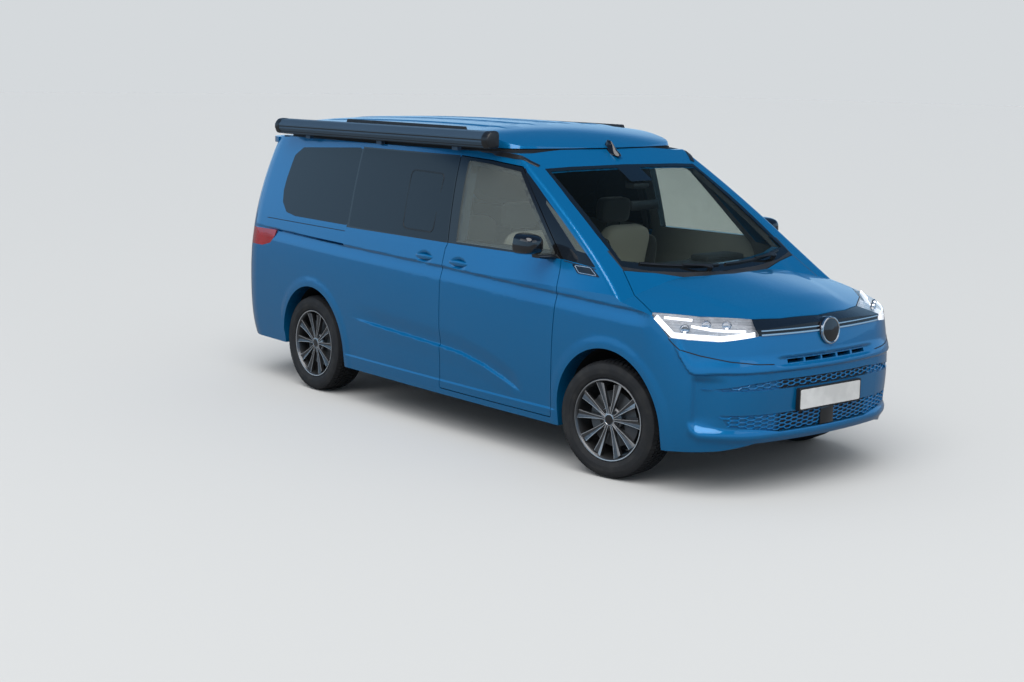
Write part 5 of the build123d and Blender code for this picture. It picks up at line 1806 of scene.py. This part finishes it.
@dataclass(frozen=True)
class Headlamp:
    """The inside of both headlamps: bright strips and reflector cups."""

    origin: Point = (2.250, -0.700, 0.0)
    facing: Point = (0.64, -0.77, 0.0)
    outer_strip: Line = ((-0.262, 0.998), (-0.160, 0.908), (0.108, 0.901), (0.285, 0.920))
    upper_strip: Line = ((-0.215, 0.996), (-0.060, 0.986))
    inner_strip: Line = ((-0.060, 0.962), (0.060, 0.946), (0.235, 0.938))
    cups: Line = ((-0.095, 0.945), (0.02, 0.968), (0.13, 0.965))
    cup_profile: Line = (
        (-0.010, 0.002), (-0.009, 0.012), (-0.004, 0.021), (0.002, 0.026), (0.002, 0.028), (-0.010, 0.024),
    )

    def build(self) -> None:
        """Makes the lamps of both sides."""
        skin = Skin(["headlamps"])
        strips: list[Piece] = []
        cups: list[Piece] = []
        for side in (RIGHT, LEFT):
            for line, wide, deep in (
                (self.outer_strip, 0.030, 0.006), (self.upper_strip, 0.015, 0.006), (self.inner_strip, 0.015, 0.008),
            ):
                spots = densified([(u, 0, z) for u, z in line], 0.015)
                path, ups = traced((self._spot(skin, side, p.x, p.z, deep) for p in spots), 0.0)
                strips.append(sweep("strip", path, ups, pad_section(wide, -0.004, 0.003, 0.001)))
            for u, z in self.cups:
                cups.append(turned("cup", self.cup_profile, *self._spot(skin, side, u, z, 0.012), 24))
        dress(joined("lamp_strips", strips), "van", "led")
        dress(joined("lamp_reflectors", cups), "van", "reflector")

    def _spot(self, skin: Skin, side: float, u: float, z: float, deep: float) -> Hit:
        """Finds a place under the lens.

        Args:
            skin: the lamps' outside.
            side: which lamp.
            u: the place along the lamp.
            z: its height.
            deep: how far it lies under the lens.

        Returns:
            The point, and the way out.
        """
        way = Vector(self.facing).normalized()
        start = Vector(self.origin) + Vector((-way.y, way.x, 0)) * u + way * 0.8 + UP * z
        hit = skin.tree.ray_cast(start, -way)
        point = (hit[0] if hit[0] is not None else start - way * 0.8) - way * deep
        if side == LEFT:
            point.y, way.y = -point.y, -way.y
        return point, way


# ---- wheels
@dataclass(frozen=True)
class RoadWheel:
    """Alloy wheel with five pairs of spokes, and its treaded tyre."""

    radius: float = 0.346
    tread_depth: float = 0.0075
    rows: Line = ((-0.088, 0.030), (-0.050, 0.030), (0.0, 0.052), (0.050, 0.030), (0.088, 0.030))
    blocks: int = 74
    spokes: int = 5
    bolt_circle: float = 0.056
    track_half: float = 0.800
    rest_steer_deg: float = 10.0
    axles: tuple[tuple[str, float], ...] = (("front", 1.6925), ("rear", -1.4315))
    barrel: Line = (
        (-0.106, 0.218), (-0.106, 0.243), (-0.098, 0.243), (-0.097, 0.229), (0.097, 0.229), (0.098, 0.243),
        (0.1045, 0.2425), (0.106, 0.240), (0.105, 0.234), (0.098, 0.2275), (0.085, 0.2235), (0.060, 0.219),
        (-0.106, 0.218),
    )
    hub: Line = (
        (0.046, 0.030), (0.046, 0.077), (0.068, 0.078), (0.073, 0.073), (0.0845, 0.036), (0.0845, 0.030),
        (0.046, 0.030),
    )
    bolt: Line = ((-0.01, 0.002), (-0.01, 0.0135), (0.004, 0.0135), (0.006, 0.011), (0.006, 0.002))
    cap: Line = ((0.055, 0.001), (0.055, 0.0325), (0.084, 0.0325), (0.0875, 0.029), (0.089, 0.001))
    cap_ring: Line = ((0.0835, 0.0335), (0.0875, 0.0325), (0.0885, 0.030), (0.087, 0.028), (0.0835, 0.0335))
    blade: tuple[tuple[float, ...], ...] = (
        # radius, place aside, width, face, back
        (0.033, 0.0085, 0.018, 0.0865, 0.050),
        (0.060, 0.0160, 0.022, 0.0870, 0.052),
        (0.090, 0.0255, 0.027, 0.0875, 0.058),
        (0.125, 0.0370, 0.034, 0.0890, 0.062),
        (0.165, 0.0495, 0.044, 0.0920, 0.064),
        (0.195, 0.0590, 0.053, 0.0955, 0.066),
        (0.2125, 0.0645, 0.059, 0.0980, 0.066),
    )

    def build(self) -> None:
        """Makes the four wheels."""
        for axle, x in self.axles:
            for side, word in SIDES:
                turn = math.radians(self.rest_steer_deg) if axle == "front" else 0.0
                move = (
                    Matrix.Translation((x, side * self.track_half, self.radius))
                    @ Matrix.Rotation(turn, 4, "Z")
                    @ Matrix.Diagonal((1, -side, 1, 1))
                )
                self._rim(f"{axle}_{word}", move)
                self._tyre(f"{axle}_{word}", move)

    @staticmethod
    def _round(name: str, profile: Line, count: int = 64) -> Piece:
        """A profile turned about the wheel's own axle, its outer face towards -Y."""
        return turned(name, profile, (0, 0, 0), (0, -1, 0), count)

    def _rim(self, corner: str, move: Matrix) -> None:
        """The barrel, the spokes, the hub, its bolts and cap.

        Args:
            corner: the wheel's corner of the van.
            move: where the wheel stands.
        """
        body = f"wheel_{corner}"
        parts = [self._round("barrel", self.barrel, 96), self._round("hub", self.hub, 60)]
        for k in range(self.spokes):
            parts += [self._spoke(math.radians(90 + 360 * k / self.spokes), lean) for lean in (-1, 1)]
        made = placed(joined(f"wheel_rim_{corner}", parts), move)
        dress(made, body, "alloy", [f"rim_{corner}"], 28)
        spots = []
        for k in range(self.spokes):
            angle = math.radians(90 + 360 * (k + 0.5) / self.spokes)
            spots.append(Spot((self.bolt_circle * math.cos(angle), -0.080, self.bolt_circle * math.sin(angle))))
        bolts = scattered(f"wheel_bolts_{corner}", self._round("bolt", self.bolt, 6), spots, "satin_black")
        dress(placed(bolts, move), body, "satin_black")
        cap = placed(self._round(f"wheel_cap_{corner}", self.cap), move)
        dress(cap, body, "gloss_black")
        ring = placed(self._round(f"cap_ring_{corner}", self.cap_ring), move)
        dress(ring, body, "chrome")

    def _spoke(self, angle: float, lean: int) -> Piece:
        """One blade with cut edges and a shallow channel, from the hub out to the barrel.

        Args:
            angle: the pair's place round the wheel.
            lean: -1 or 1, the side of the pair.

        Returns:
            The blade.
        """
        along = Vector((math.cos(angle), 0, math.sin(angle)))
        across = Vector((-math.sin(angle), 0, math.cos(angle)))
        edge = 0.0035
        loops = []
        for radius, off, width, top, bottom in self.blade:
            half = width / 2
            section = [
                (-half * 0.75, bottom), (half * 0.75, bottom), (half, top - 0.008), (half - 0.001, top - 0.0008),
                (half - 0.002, top), (half - 0.002 - edge, top), (0.0, top - half * 0.31),
                (-half + 0.002 + edge, top), (-half + 0.002, top),
                (-half + 0.001, top - 0.0008), (-half, top - 0.008),
            ]
            middle = along * radius + across * (lean * off)
            loops.append([middle + across * a + Vector((0, -b, 0)) for a, b in section])
        return rings("spoke", loops)

    def _tread(self, number: int, offset: float, width: float) -> Piece:
        """One row of tread blocks.

        Args:
            number: the row's number.
            offset: its place across the tyre.
            width: the blocks' width.

        Returns:
            The row as one mesh.
        """
        shoulder = abs(offset) > 0.08
        pitch = 2 * math.pi / self.blocks
        stagger = 0.5 if number % 2 else 0.0
        spots = [Spot((0, -offset, 0), (0, pitch * (k + stagger), 0)) for k in range(self.blocks)]
        deep = self.tread_depth + 0.004
        x = self.radius - deep / 2
        wide = 2 * math.pi * self.radius / self.blocks * (0.80 if shoulder else 0.74)
        cell = block("tread_block", (deep, width, wide), 0.0, (x, 0, 0))
        limit = self.radius - 0.0003
        for vertex in cell.data.vertices:
            if shoulder and vertex.co.y * -offset > 0 and vertex.co.x > x:
                vertex.co.x -= 0.0085
            elif vertex.co.x > x:
                vertex.co.z += (vertex.co.y * 0.25) * (1 if offset >= 0 else -1)
            if math.hypot(vertex.co.x, vertex.co.z) > limit:
                vertex.co.x = math.sqrt(limit**2 - vertex.co.z**2)
            if shoulder and vertex.co.y * -offset > 0:
                vertex.co.y *= 1.35
                vertex.co.x -= 0.004
        return scattered(f"row_{number}", cell, spots, "tyre")

    def _tyre(self, corner: str, move: Matrix) -> None:
        """Carcass and tread blocks as one piece.

        Args:
            corner: the wheel's corner of the van.
            move: where the wheel stands.
        """
        base = self.radius - self.tread_depth
        flank = [
            (0.098, 0.229), (0.098, 0.244), (0.1045, 0.2475), (0.1065, 0.252), (0.1085, 0.2525), (0.1100, 0.256),
            (0.1150, 0.272), (0.1160, 0.2725), (0.1163, 0.275), (0.1170, 0.2865), (0.1166, 0.300), (0.1172, 0.3005),
            (0.1168, 0.303), (0.1150, 0.312), (0.1115, 0.3225), (0.1095, 0.327), (0.1060, 0.3325),
            (0.098, base - 0.002), (0.080, base),
        ]
        profile = [(-a, r) for a, r in flank] + flank[::-1] + [(-0.098, 0.229)]
        pieces = [self._round("carcass", profile, 120)]
        pieces += [self._tread(number, *row) for number, row in enumerate(self.rows)]
        made = placed(joined(f"road_tyre_{corner}", pieces), move)
        dress(made, f"wheel_{corner}", "tyre", [f"tyre_{corner}"], 32)


# ---- roof, awning, wipers
@dataclass(frozen=True)
class AwningTrim:
    """End caps, groove and closing rail of the awning's case."""

    section: Line = (
        (0.806, 1.852), (0.806, 1.949), (0.832, 1.957), (0.874, 1.951), (0.900, 1.9185), (0.900, 1.8865),
        (0.882, 1.852),
    )
    middle: Point = (0, -0.853, 1.904)
    rear: float = -1.950
    front: float = 0.560
    cap: float = 0.055
    cap_rounding: Line = ((-0.012, 1.075), (-0.002, 1.05), (0.006, 0.94), (0.009, 0.70), (0.010, 0.10))

    def build(self) -> None:
        """Makes the caps, the groove and the rail."""
        middle = Vector(self.middle)
        outline = rounded([(0, -y, z) for y, z in self.section], 0.018, 4)
        for word, x, way in (("front", self.front, 1), ("rear", self.rear, -1)):
            loops = [
                [middle + (p - middle) * grow + Vector((x + way * along, 0, 0)) for p in outline]
                for along, grow in ((-self.cap, 1.06), *self.cap_rounding)
            ]
            dress(rings(f"awning_cap_{word}", loops), "van", "satin_black", smooth_deg=40)
        strips = [
            self._run("groove", (y, z), (0, -1, 0), pad_section(wide, -0.003, 0.0004, 0.0002))
            for y, z, wide in ((-0.9006, 1.902, 0.007), (-0.8905, 1.866, 0.004))
        ]
        dress(joined("awning_groove", strips), "van", "rubber")
        rail = self._run("awning_arm_rail", (-0.846, 1.8545), (0, 0, -1), pad_section(0.030, -0.004, 0.008, 0.003))
        dress(rail, "van", "satin_black")

    def _run(self, name: str, at: tuple[float, float], out: Point, section: Line) -> Piece:
        """A straight strip from one cap to the other.

        Args:
            name: the piece's name.
            at: its place across and its height.
            out: the way it faces.
            section: its section.

        Returns:
            The strip.
        """
        path = [Vector((x, *at)) for x in (self.rear + self.cap, self.front - self.cap)]
        return sweep(name, path, [Vector(out)] * 2, section)


@dataclass(frozen=True)
class RoofTrim:
    """The aerial fin ahead of the lifting roof."""

    fin_at: tuple[float, float] = (0.735, 0.0)
    fin: tuple[tuple[float, ...], ...] = (
        # height, back, front, half width
        (-0.006, -0.085, 0.075, 0.034), (0.004, -0.083, 0.070, 0.031), (0.020, -0.080, 0.035, 0.017),
        (0.042, -0.068, 0.008, 0.009), (0.056, -0.056, -0.012, 0.005), (0.060, -0.050, -0.024, 0.002),
    )
    stretch: float = 1.15
    slope: float = 0.20

    def build(self) -> None:
        """Makes the fin."""
        base = Skin(["body_shell"]).top(*self.fin_at)[0]
        loops = []
        for height, back, front, wide in self.fin:
            middle, half = (front + back) / 2, (front - back) / 2
            loops.append([
                base + Vector((x, y, height * self.stretch - self.slope * x))
                for x, y in ((middle + half * c, wide * s) for c, s in circle(24))
            ])
        dress(rings("aerial_fin", loops), "van", "gloss_black", smooth_deg=60)


@dataclass(frozen=True)
class Wipers:
    """Two front wipers at rest and one on the tailgate."""

    blades: tuple[Point, ...] = ((-0.60, -0.02, -0.12), (0.04, 0.62, 0.52))
    pivot: Line = ((-0.01, 0.001), (-0.01, 0.016), (0.028, 0.013), (0.030, 0.001))

    def build(self) -> None:
        """Makes the front pair and the rear one."""
        self._front()
        self._rear()

    def _front(self) -> None:
        """Blades, arms and pivots below the windscreen."""
        skin = Skin(["windscreen"])
        parts = []
        for start, end, pivot in self.blades:
            places = [start + (end - start) * k / 16 for k in range(17)]
            path, ups = traced((skin.front(y, 1.190 + y * y * 0.10) for y in places), 0.008)
            parts.append(sweep("blade", path, ups, pad_section(0.014, -0.008, 0.005, 0.003)))
            hold = path[8] + ups[8] * 0.008
            foot, way = skin.front(pivot, 1.170 + pivot * pivot * 0.105)
            arm = [foot + way * 0.022, foot.lerp(hold, 0.3) + way * 0.026, hold]
            section = pad_section(0.020, -0.005, 0.005, 0.003)
            parts.append(sweep("arm", arm, [way] * 3, section, taper=lambda t: 1.0 - 0.35 * t))
            parts.append(turned("pivot", self.pivot, foot, way, 20))
        dress(joined("front_wipers", parts), "van", "satin_black")

    def _rear(self) -> None:
        """Blade and arm on the tailgate's glass."""
        skin = Skin(["tailgate_glass", "tailgate"])
        path, ups = traced((skin.rear(-0.28 + 0.52 * k / 12, 1.225) for k in range(13)), 0.010)
        blade = sweep("rear_blade", path, ups, pad_section(0.014, -0.009, 0.005, 0.003))
        root, way = skin.rear(0.30, 1.195)
        line = [root + way * 0.014, path[6] + ups[6] * 0.006]
        section = pad_section(0.022, -0.012, 0.006, 0.003)
        arm = sweep("rear_arm", line, [way] * 2, section, taper=lambda t: 1.0 - 0.4 * t)
        dress(joined("rear_wiper", [blade, arm]), "tailgate_body", "satin_black")


# ---- the rear
@dataclass(frozen=True)
class TailTrim:
    """Plate, handle, reflectors and lamp lines of the rear."""

    plate_height: float = 0.860
    grip_height: float = 0.990
    reflector_height: float = 0.455
    line_heights: tuple[float, float] = (1.06, 1.085)
    rear_most: float = -2.1

    def build(self) -> None:
        """Makes the rear's trim."""
        skin = Skin(["tailgate", "tailgate_glass", "rear_bumper", "tail_lamps", "tailgate_lamps"])
        face = skin.rear(0, self.plate_height)[0]
        at = face.x - float(TailRelief().height(np.array([face]))[0])
        high, grip = self.plate_height, self.grip_height
        for name, size, chamfer, x, z, slot, finish in (
            ("rear_plate_frame", (0.010, 0.540, 0.130), 0.003, at - 0.006, high, "black_plastic", "satin_black"),
            ("rear_plate", (0.004, 0.520, 0.110), 0.001, at - 0.0125, high, "body_trim", "plate"),
            ("rear_handle", (0.030, 0.420, 0.026), 0.006, skin.rear(0, grip)[0].x + 0.004, grip, "black_plastic",
             "gloss_black"),
        ):
            dress(block(name, size, chamfer, (x, 0, z)), "tailgate_body", finish)
        self._lamps()
        bumper = Skin(["rear_bumper"])
        for side, word in SIDES:
            hits = (bumper.rear(side * (0.52 + 0.16 * k / 8), self.reflector_height) for k in range(9))
            made = sweep(f"rear_reflector_{word}", *traced(hits, 0.001), pad_section(0.030, -0.004, 0.003, 0.002))
            dress(made, "van", "red")

    def _lamps(self) -> None:
        """Pale lines in the rear lamps."""
        for node, owner in (("tail_lamps", "van"), ("tailgate_lamps", "tailgate_body")):
            skin = Skin([node])
            parts = []
            for side in (RIGHT, LEFT):
                for height in self.line_heights:
                    hits = (skin.cast((-3.4, side * (0.56 + 0.30 * k / 24), height), (1, 0, 0)) for k in range(25))
                    path, ups = traced((hit for hit in hits if hit and hit[0].x <= self.rear_most), 0.0006)
                    if len(path) > 2:
                        parts.append(sweep("line", path, ups, pad_section(0.007, -0.003, 0.0010, 0.0005)))
            if parts:
                dress(joined(f"{node}_lines", parts), owner, "pale_lens")


# ---- mirrors
@dataclass(frozen=True)
class MirrorTrim:
    """Rounded shells, amber lenses and glasses of both mirrors."""

    face: Line = ((0.965, 1.256), (1.100, 1.262), (1.122, 1.296), (1.112, 1.372), (1.062, 1.390), (0.965, 1.378))
    middle: tuple[float, float] = (1.040, 1.318)
    domes: Line = (
        (1.085, 0.95), (1.087, 1.0), (1.115, 1.0), (1.145, 0.975), (1.172, 0.93), (1.194, 0.85), (1.210, 0.73),
        (1.220, 0.56), (1.225, 0.33), (1.226, 0.06),
    )
    foot_x: float = 1.172
    foot: tuple[tuple[float, ...], ...] = (
        # place across, height, length, thickness
        (0.855, 1.245, 0.120, 0.030), (0.905, 1.245, 0.112, 0.030), (0.960, 1.248, 0.092, 0.028),
        (1.010, 1.252, 0.070, 0.020),
    )
    lens: tuple[float, ...] = (1.000, 1.03, 1.06, 1.085, 1.098)
    glass: Line = ((0.985, 1.272), (1.090, 1.278), (1.104, 1.300), (1.098, 1.360), (1.058, 1.374), (0.985, 1.366))

    def build(self) -> None:
        """Makes the shells, the feet, the lenses and the glasses."""
        for side, word in SIDES:
            owner = f"door_{word}_body"
            outline = rounded([(0, side * y, z) for y, z in self.face], 0.042, 7)
            centre = Vector((0, side * self.middle[0], self.middle[1]))
            loops = [[centre + (p - centre) * share + Vector((x, 0, 0)) for p in outline] for x, share in self.domes]
            stem = []
            for y, z, length, tall in self.foot:
                corners = [(a * length / 2, 0, b * tall / 2) for a, b in ((-1, -1), (1, -1), (1, 1), (-1, 1))]
                stem.append([p + Vector((self.foot_x, side * y, z)) for p in rounded(corners, 0.012, 4)])
            made = joined(f"mirror_case_{word}", [rings("shell", loops), rings("stem", stem)])
            dress(made, owner, "gloss_black", [f"mirror_{word}"], 50)
            path = [Vector((1.196 - 0.3 * max(0.0, y - 1.06), side * y, 1.279)) for y in self.lens]
            ups = [Vector((0.9, side * 0.2, -0.4))] * len(path)
            lens = sweep(f"mirror_lens_{word}", path, ups, pad_section(0.006, -0.010, 0.002, 0.001))
            dress(lens, owner, "amber")
            outline = rounded([(0, side * y, z) for y, z in self.glass], 0.016, 4)
            glass = rings(f"mirror_glass_{word}", [[(x, p.y, p.z) for p in outline] for x in (1.090, 1.0835)])
            dress(glass, owner, "chrome")


# ---- seats and cabin
def cushion(
    name: str, centre: Point, size: Point, tilt_deg: float, square: float = 0.38, channels: int = 0, count: int = 28
) -> Piece:
    """A stuffed pad: a rounded block that bulges between its seams.

    Args:
        name: the piece's name.
        centre: its middle.
        size: its length, width and thickness.
        tilt_deg: its turn about the Y axis.
        square: 1 gives an egg, smaller gives squarer corners.
        channels: stitched grooves across it.
        count: steps round it.

    Returns:
        The pad.
    """

    def shaped(value: float) -> float:
        """A cosine or sine pulled towards a square."""
        return math.copysign(abs(value) ** square, value)

    turn = Matrix.Rotation(math.radians(tilt_deg), 3, "Y")
    loops = []
    for i in range(1, count // 2):
        rise = math.pi * i / (count // 2) - math.pi / 2
        ring = []
        for j in range(count * 2):
            angle = math.pi * j / count
            x = shaped(math.cos(rise)) * shaped(math.cos(angle))
            y = shaped(math.cos(rise)) * shaped(math.sin(angle))
            z = shaped(math.sin(rise))
            if channels and z > 0.2:
                z -= 0.10 * (1 - abs(math.sin(math.pi * channels * (x + 1) / 2))) ** 3
            z += 0.10 * (1 - x * x) * (1 - y * y) * (1 if z > 0 else 0)
            ring.append(Vector(centre) + turn @ Vector((x * size[0] / 2, y * size[1] / 2, z * size[2] / 2)))
        loops.append(ring)
    return rings(name, loops)


@dataclass(frozen=True)
class Cabin:
    """Seats, steering wheel, fascia details, screen sensor and cupboards."""

    front_seats: tuple[float, ...] = (-0.42, 0.42)
    seat_x: float = 0.64
    seat_width: float = 0.50
    bench: Point = (-0.72, -0.16, 1.10)
    flat_deg: float = -4
    back_deg: float = -78
    head_deg: float = -84
    wheel_middle: Point = (1.080, 0.380, 1.000)
    wheel_tilt_deg: float = 62
    screen_middle: Point = (1.195, 0.0, 1.055)
    dash_back: Line = ((1.225, 1.085), (1.205, 1.120), (1.240, 1.160))
    cupboard_x: tuple[float, ...] = (-1.40, -0.93, -0.46)

    def build(self) -> None:
        """Makes everything that shows through the glass."""
        self._seats()
        self._steering()
        self._fascia()
        self._cupboards()

    @staticmethod
    def _pad(name: str, finish: str, *shape: object, **more: object) -> None:
        """Makes one declared pad.

        Args:
            name: the pad's name.
            finish: its finish.
            shape: its middle, size and tilt.
            Makes one pad.
        """
        dress(cushion(name, *shape, **more), "van", finish, smooth_deg=70)

    def _seats(self) -> None:
        """Front seats, the bench and their bases."""
        flat, back, head = self.flat_deg, self.back_deg, self.head_deg
        post = [(0, 0.001), (0, 0.006), (0.12, 0.006), (0.12, 0.001)]
        bases = []
        for n, y in enumerate(self.front_seats):
            x = self.seat_x
            bases.append(block("base", (0.40, self.seat_width - 0.10, 0.24), 0.02, (x, y, 0.52)))
            bases.append(block("shell", (0.05, self.seat_width - 0.12, 0.46), 0.02, (x - 0.315, y, 0.98)))
            bases += [turned("post", post, (x - 0.322, y + off, 1.24), (-0.1, 0, 1), 10) for off in (-0.06, 0.06)]
            self._pad(f"front_cushion_{n}", "seat_pale", (x + 0.02, y, 0.715), (0.50, 0.44, 0.13), flat, channels=5)
            self._pad(f"front_back_{n}", "seat_pale", (x - 0.255, y, 1.010), (0.60, 0.42, 0.12), back, channels=5)
            self._pad(f"front_headrest_{n}", "seat_dark", (x - 0.330, y, 1.400), (0.17, 0.26, 0.095), head)
            for side in (-1, 1):
                for word, at, size, tilt in (
                    ("bolster", (x - 0.235, y + side * 0.215, 0.985), (0.50, 0.075, 0.15), back),
                    ("side", (x + 0.01, y + side * 0.222, 0.722), (0.46, 0.070, 0.13), flat),
                ):
                    self._pad(f"front_{word}_{n}_{side}", "seat_dark", at, size, tilt, square=0.6)
        x, middle, width = self.bench
        bases.append(block("bench_base", (0.40, width - 0.10, 0.25), 0.02, (x, middle, 0.53)))
        for k in (-1, 1):
            y = middle + k * width / 4
            wide = width / 2 - 0.01
            self._pad(f"bench_cushion_{k}", "seat_pale", (x + 0.02, y, 0.725), (0.50, wide, 0.14), flat, channels=4)
            self._pad(f"bench_back_{k}", "seat_pale", (x - 0.265, y, 0.995), (0.56, wide, 0.13), back, channels=4)
            self._pad(f"bench_headrest_{k}", "seat_dark", (x - 0.335, y, 1.340), (0.16, 0.26, 0.09), head)
        dress(joined("seat_bases", bases), "van", "grained_black", ["seats"])

    def _steering(self) -> None:
        """The steering wheel's ring, spokes and boss."""
        tilt = math.radians(self.wheel_tilt_deg)
        axis = Vector((-math.sin(tilt), 0, math.cos(tilt)))
        middle = Vector(self.wheel_middle)
        rim = circle(14)
        parts = [turned("ring", [(0.014 * s, 0.173 + 0.015 * c) for c, s in rim + rim[:1]], middle, axis, 60)]
        boss = [(-0.014, 0.001), (-0.014, 0.058), (0.006, 0.060), (0.014, 0.050), (0.014, 0.001)]
        parts.append(turned("boss", boss, middle, axis, 32))
        column = [(-0.092, 0.001), (-0.092, 0.024), (-0.01, 0.024), (-0.01, 0.001)]
        parts.append(turned("column", column, middle, axis, 24))
        up = axis.cross(Vector((0, 1, 0)))
        for way in (Vector((0, 1, 0)), Vector((0, -1, 0)), -up if up.z > 0 else up):
            path = [middle + way * d for d in (0.050, 0.11, 0.172)]
            parts.append(sweep("spoke", path, [axis] * 3, pad_section(0.036, -0.010, 0.008, 0.004)))
        made = joined("steering_ring", parts)
        dress(made, "steering_wheel_body", "fascia", ["steering_wheel"], 50)

    def _fascia(self) -> None:
        """Dash top, instrument hood, centre screen, vents, sensor box and inner mirror."""
        glass = Skin(["windscreen"])
        loops = []
        for k in range(29):
            y = -0.65 + 1.30 * k / 28
            ahead = min(glass.front(y, 1.235)[0].x, 1.66) - 0.030
            front = ((ahead - 0.06, 1.166), (ahead, 1.120), (ahead, 1.085))
            loops.append([Vector((x, y, z)) for x, z in (*self.dash_back, *front)])
        dress(rings("dash_top", loops), "van", "fascia", smooth_deg=50)
        hood = block("instrument_hood", (0.16, 0.34, 0.07), 0.018, (1.330, 0.38, 1.165))
        dress(hood, "van", "fascia")
        screen = block("centre_screen", (0.018, 0.27, 0.155), 0.006, self.screen_middle)
        there = Matrix.Translation(self.screen_middle)
        placed(screen, there @ Matrix.Rotation(math.radians(-14), 4, "Y") @ there.inverted())
        dress(screen, "van", "gloss_black")
        slat = block("slat", (0.012, 0.11, 0.005), 0.001)
        spots = [Spot((1.180, y, 0.965 + 0.014 * k), (0, 0.3, 0)) for y in (-0.66, -0.16, 0.16, 0.66) for k in range(4)]
        dress(scattered("vent_slats", slat, spots, "satin_black"), "van", "satin_black")
        for name, height, size, deep, finish in (
            ("sensor_box", 1.665, (0.09, 0.13, 0.035), 0.050, "grained_black"),
            ("inner_mirror", 1.600, (0.022, 0.240, 0.062), 0.115, "satin_black"),
        ):
            point, out = glass.front(0, height)
            dress(block(name, size, 0.010, tuple(point - out * deep)), "van", finish)

    def _cupboards(self) -> None:
        """Fronts and knobs of the row of cupboards."""
        size = (0.44, 0.014, 0.30)
        fronts = [block("front", size, 0.004, (x, 0.485, z)) for x in self.cupboard_x for z in (0.60, 0.92)]
        dress(joined("cupboard_fronts", fronts), "van", "laminate")
        profile = [(0, 0.001), (0, 0.010), (0.010, 0.013), (0.016, 0.010), (0.016, 0.001)]
        knob = turned("knob", profile, (0, 0, 0), (0, -1, 0), 16)
        spots = [Spot((x, 0.478, z)) for x in self.cupboard_x for z in (0.70, 1.02)]
        dress(scattered("cupboard_knobs", knob, spots, "satin_black"), "van", "satin_black")


def main() -> None:
    """Builds every sub-assembly in order."""
    logging.basicConfig(level=logging.INFO, format="%(message)s")
    for part in (
        Studio(), CarriedNodes(), BodyPanels(), SideTrim(), NoseTrim(), Headlamp(), RoadWheel(), AwningTrim(),
        RoofTrim(), Wipers(), TailTrim(), MirrorTrim(), Cabin(),
    ):
        LOG.info("%s", type(part).__name__)
        part.build()


if __name__ == "__main__":
    main()
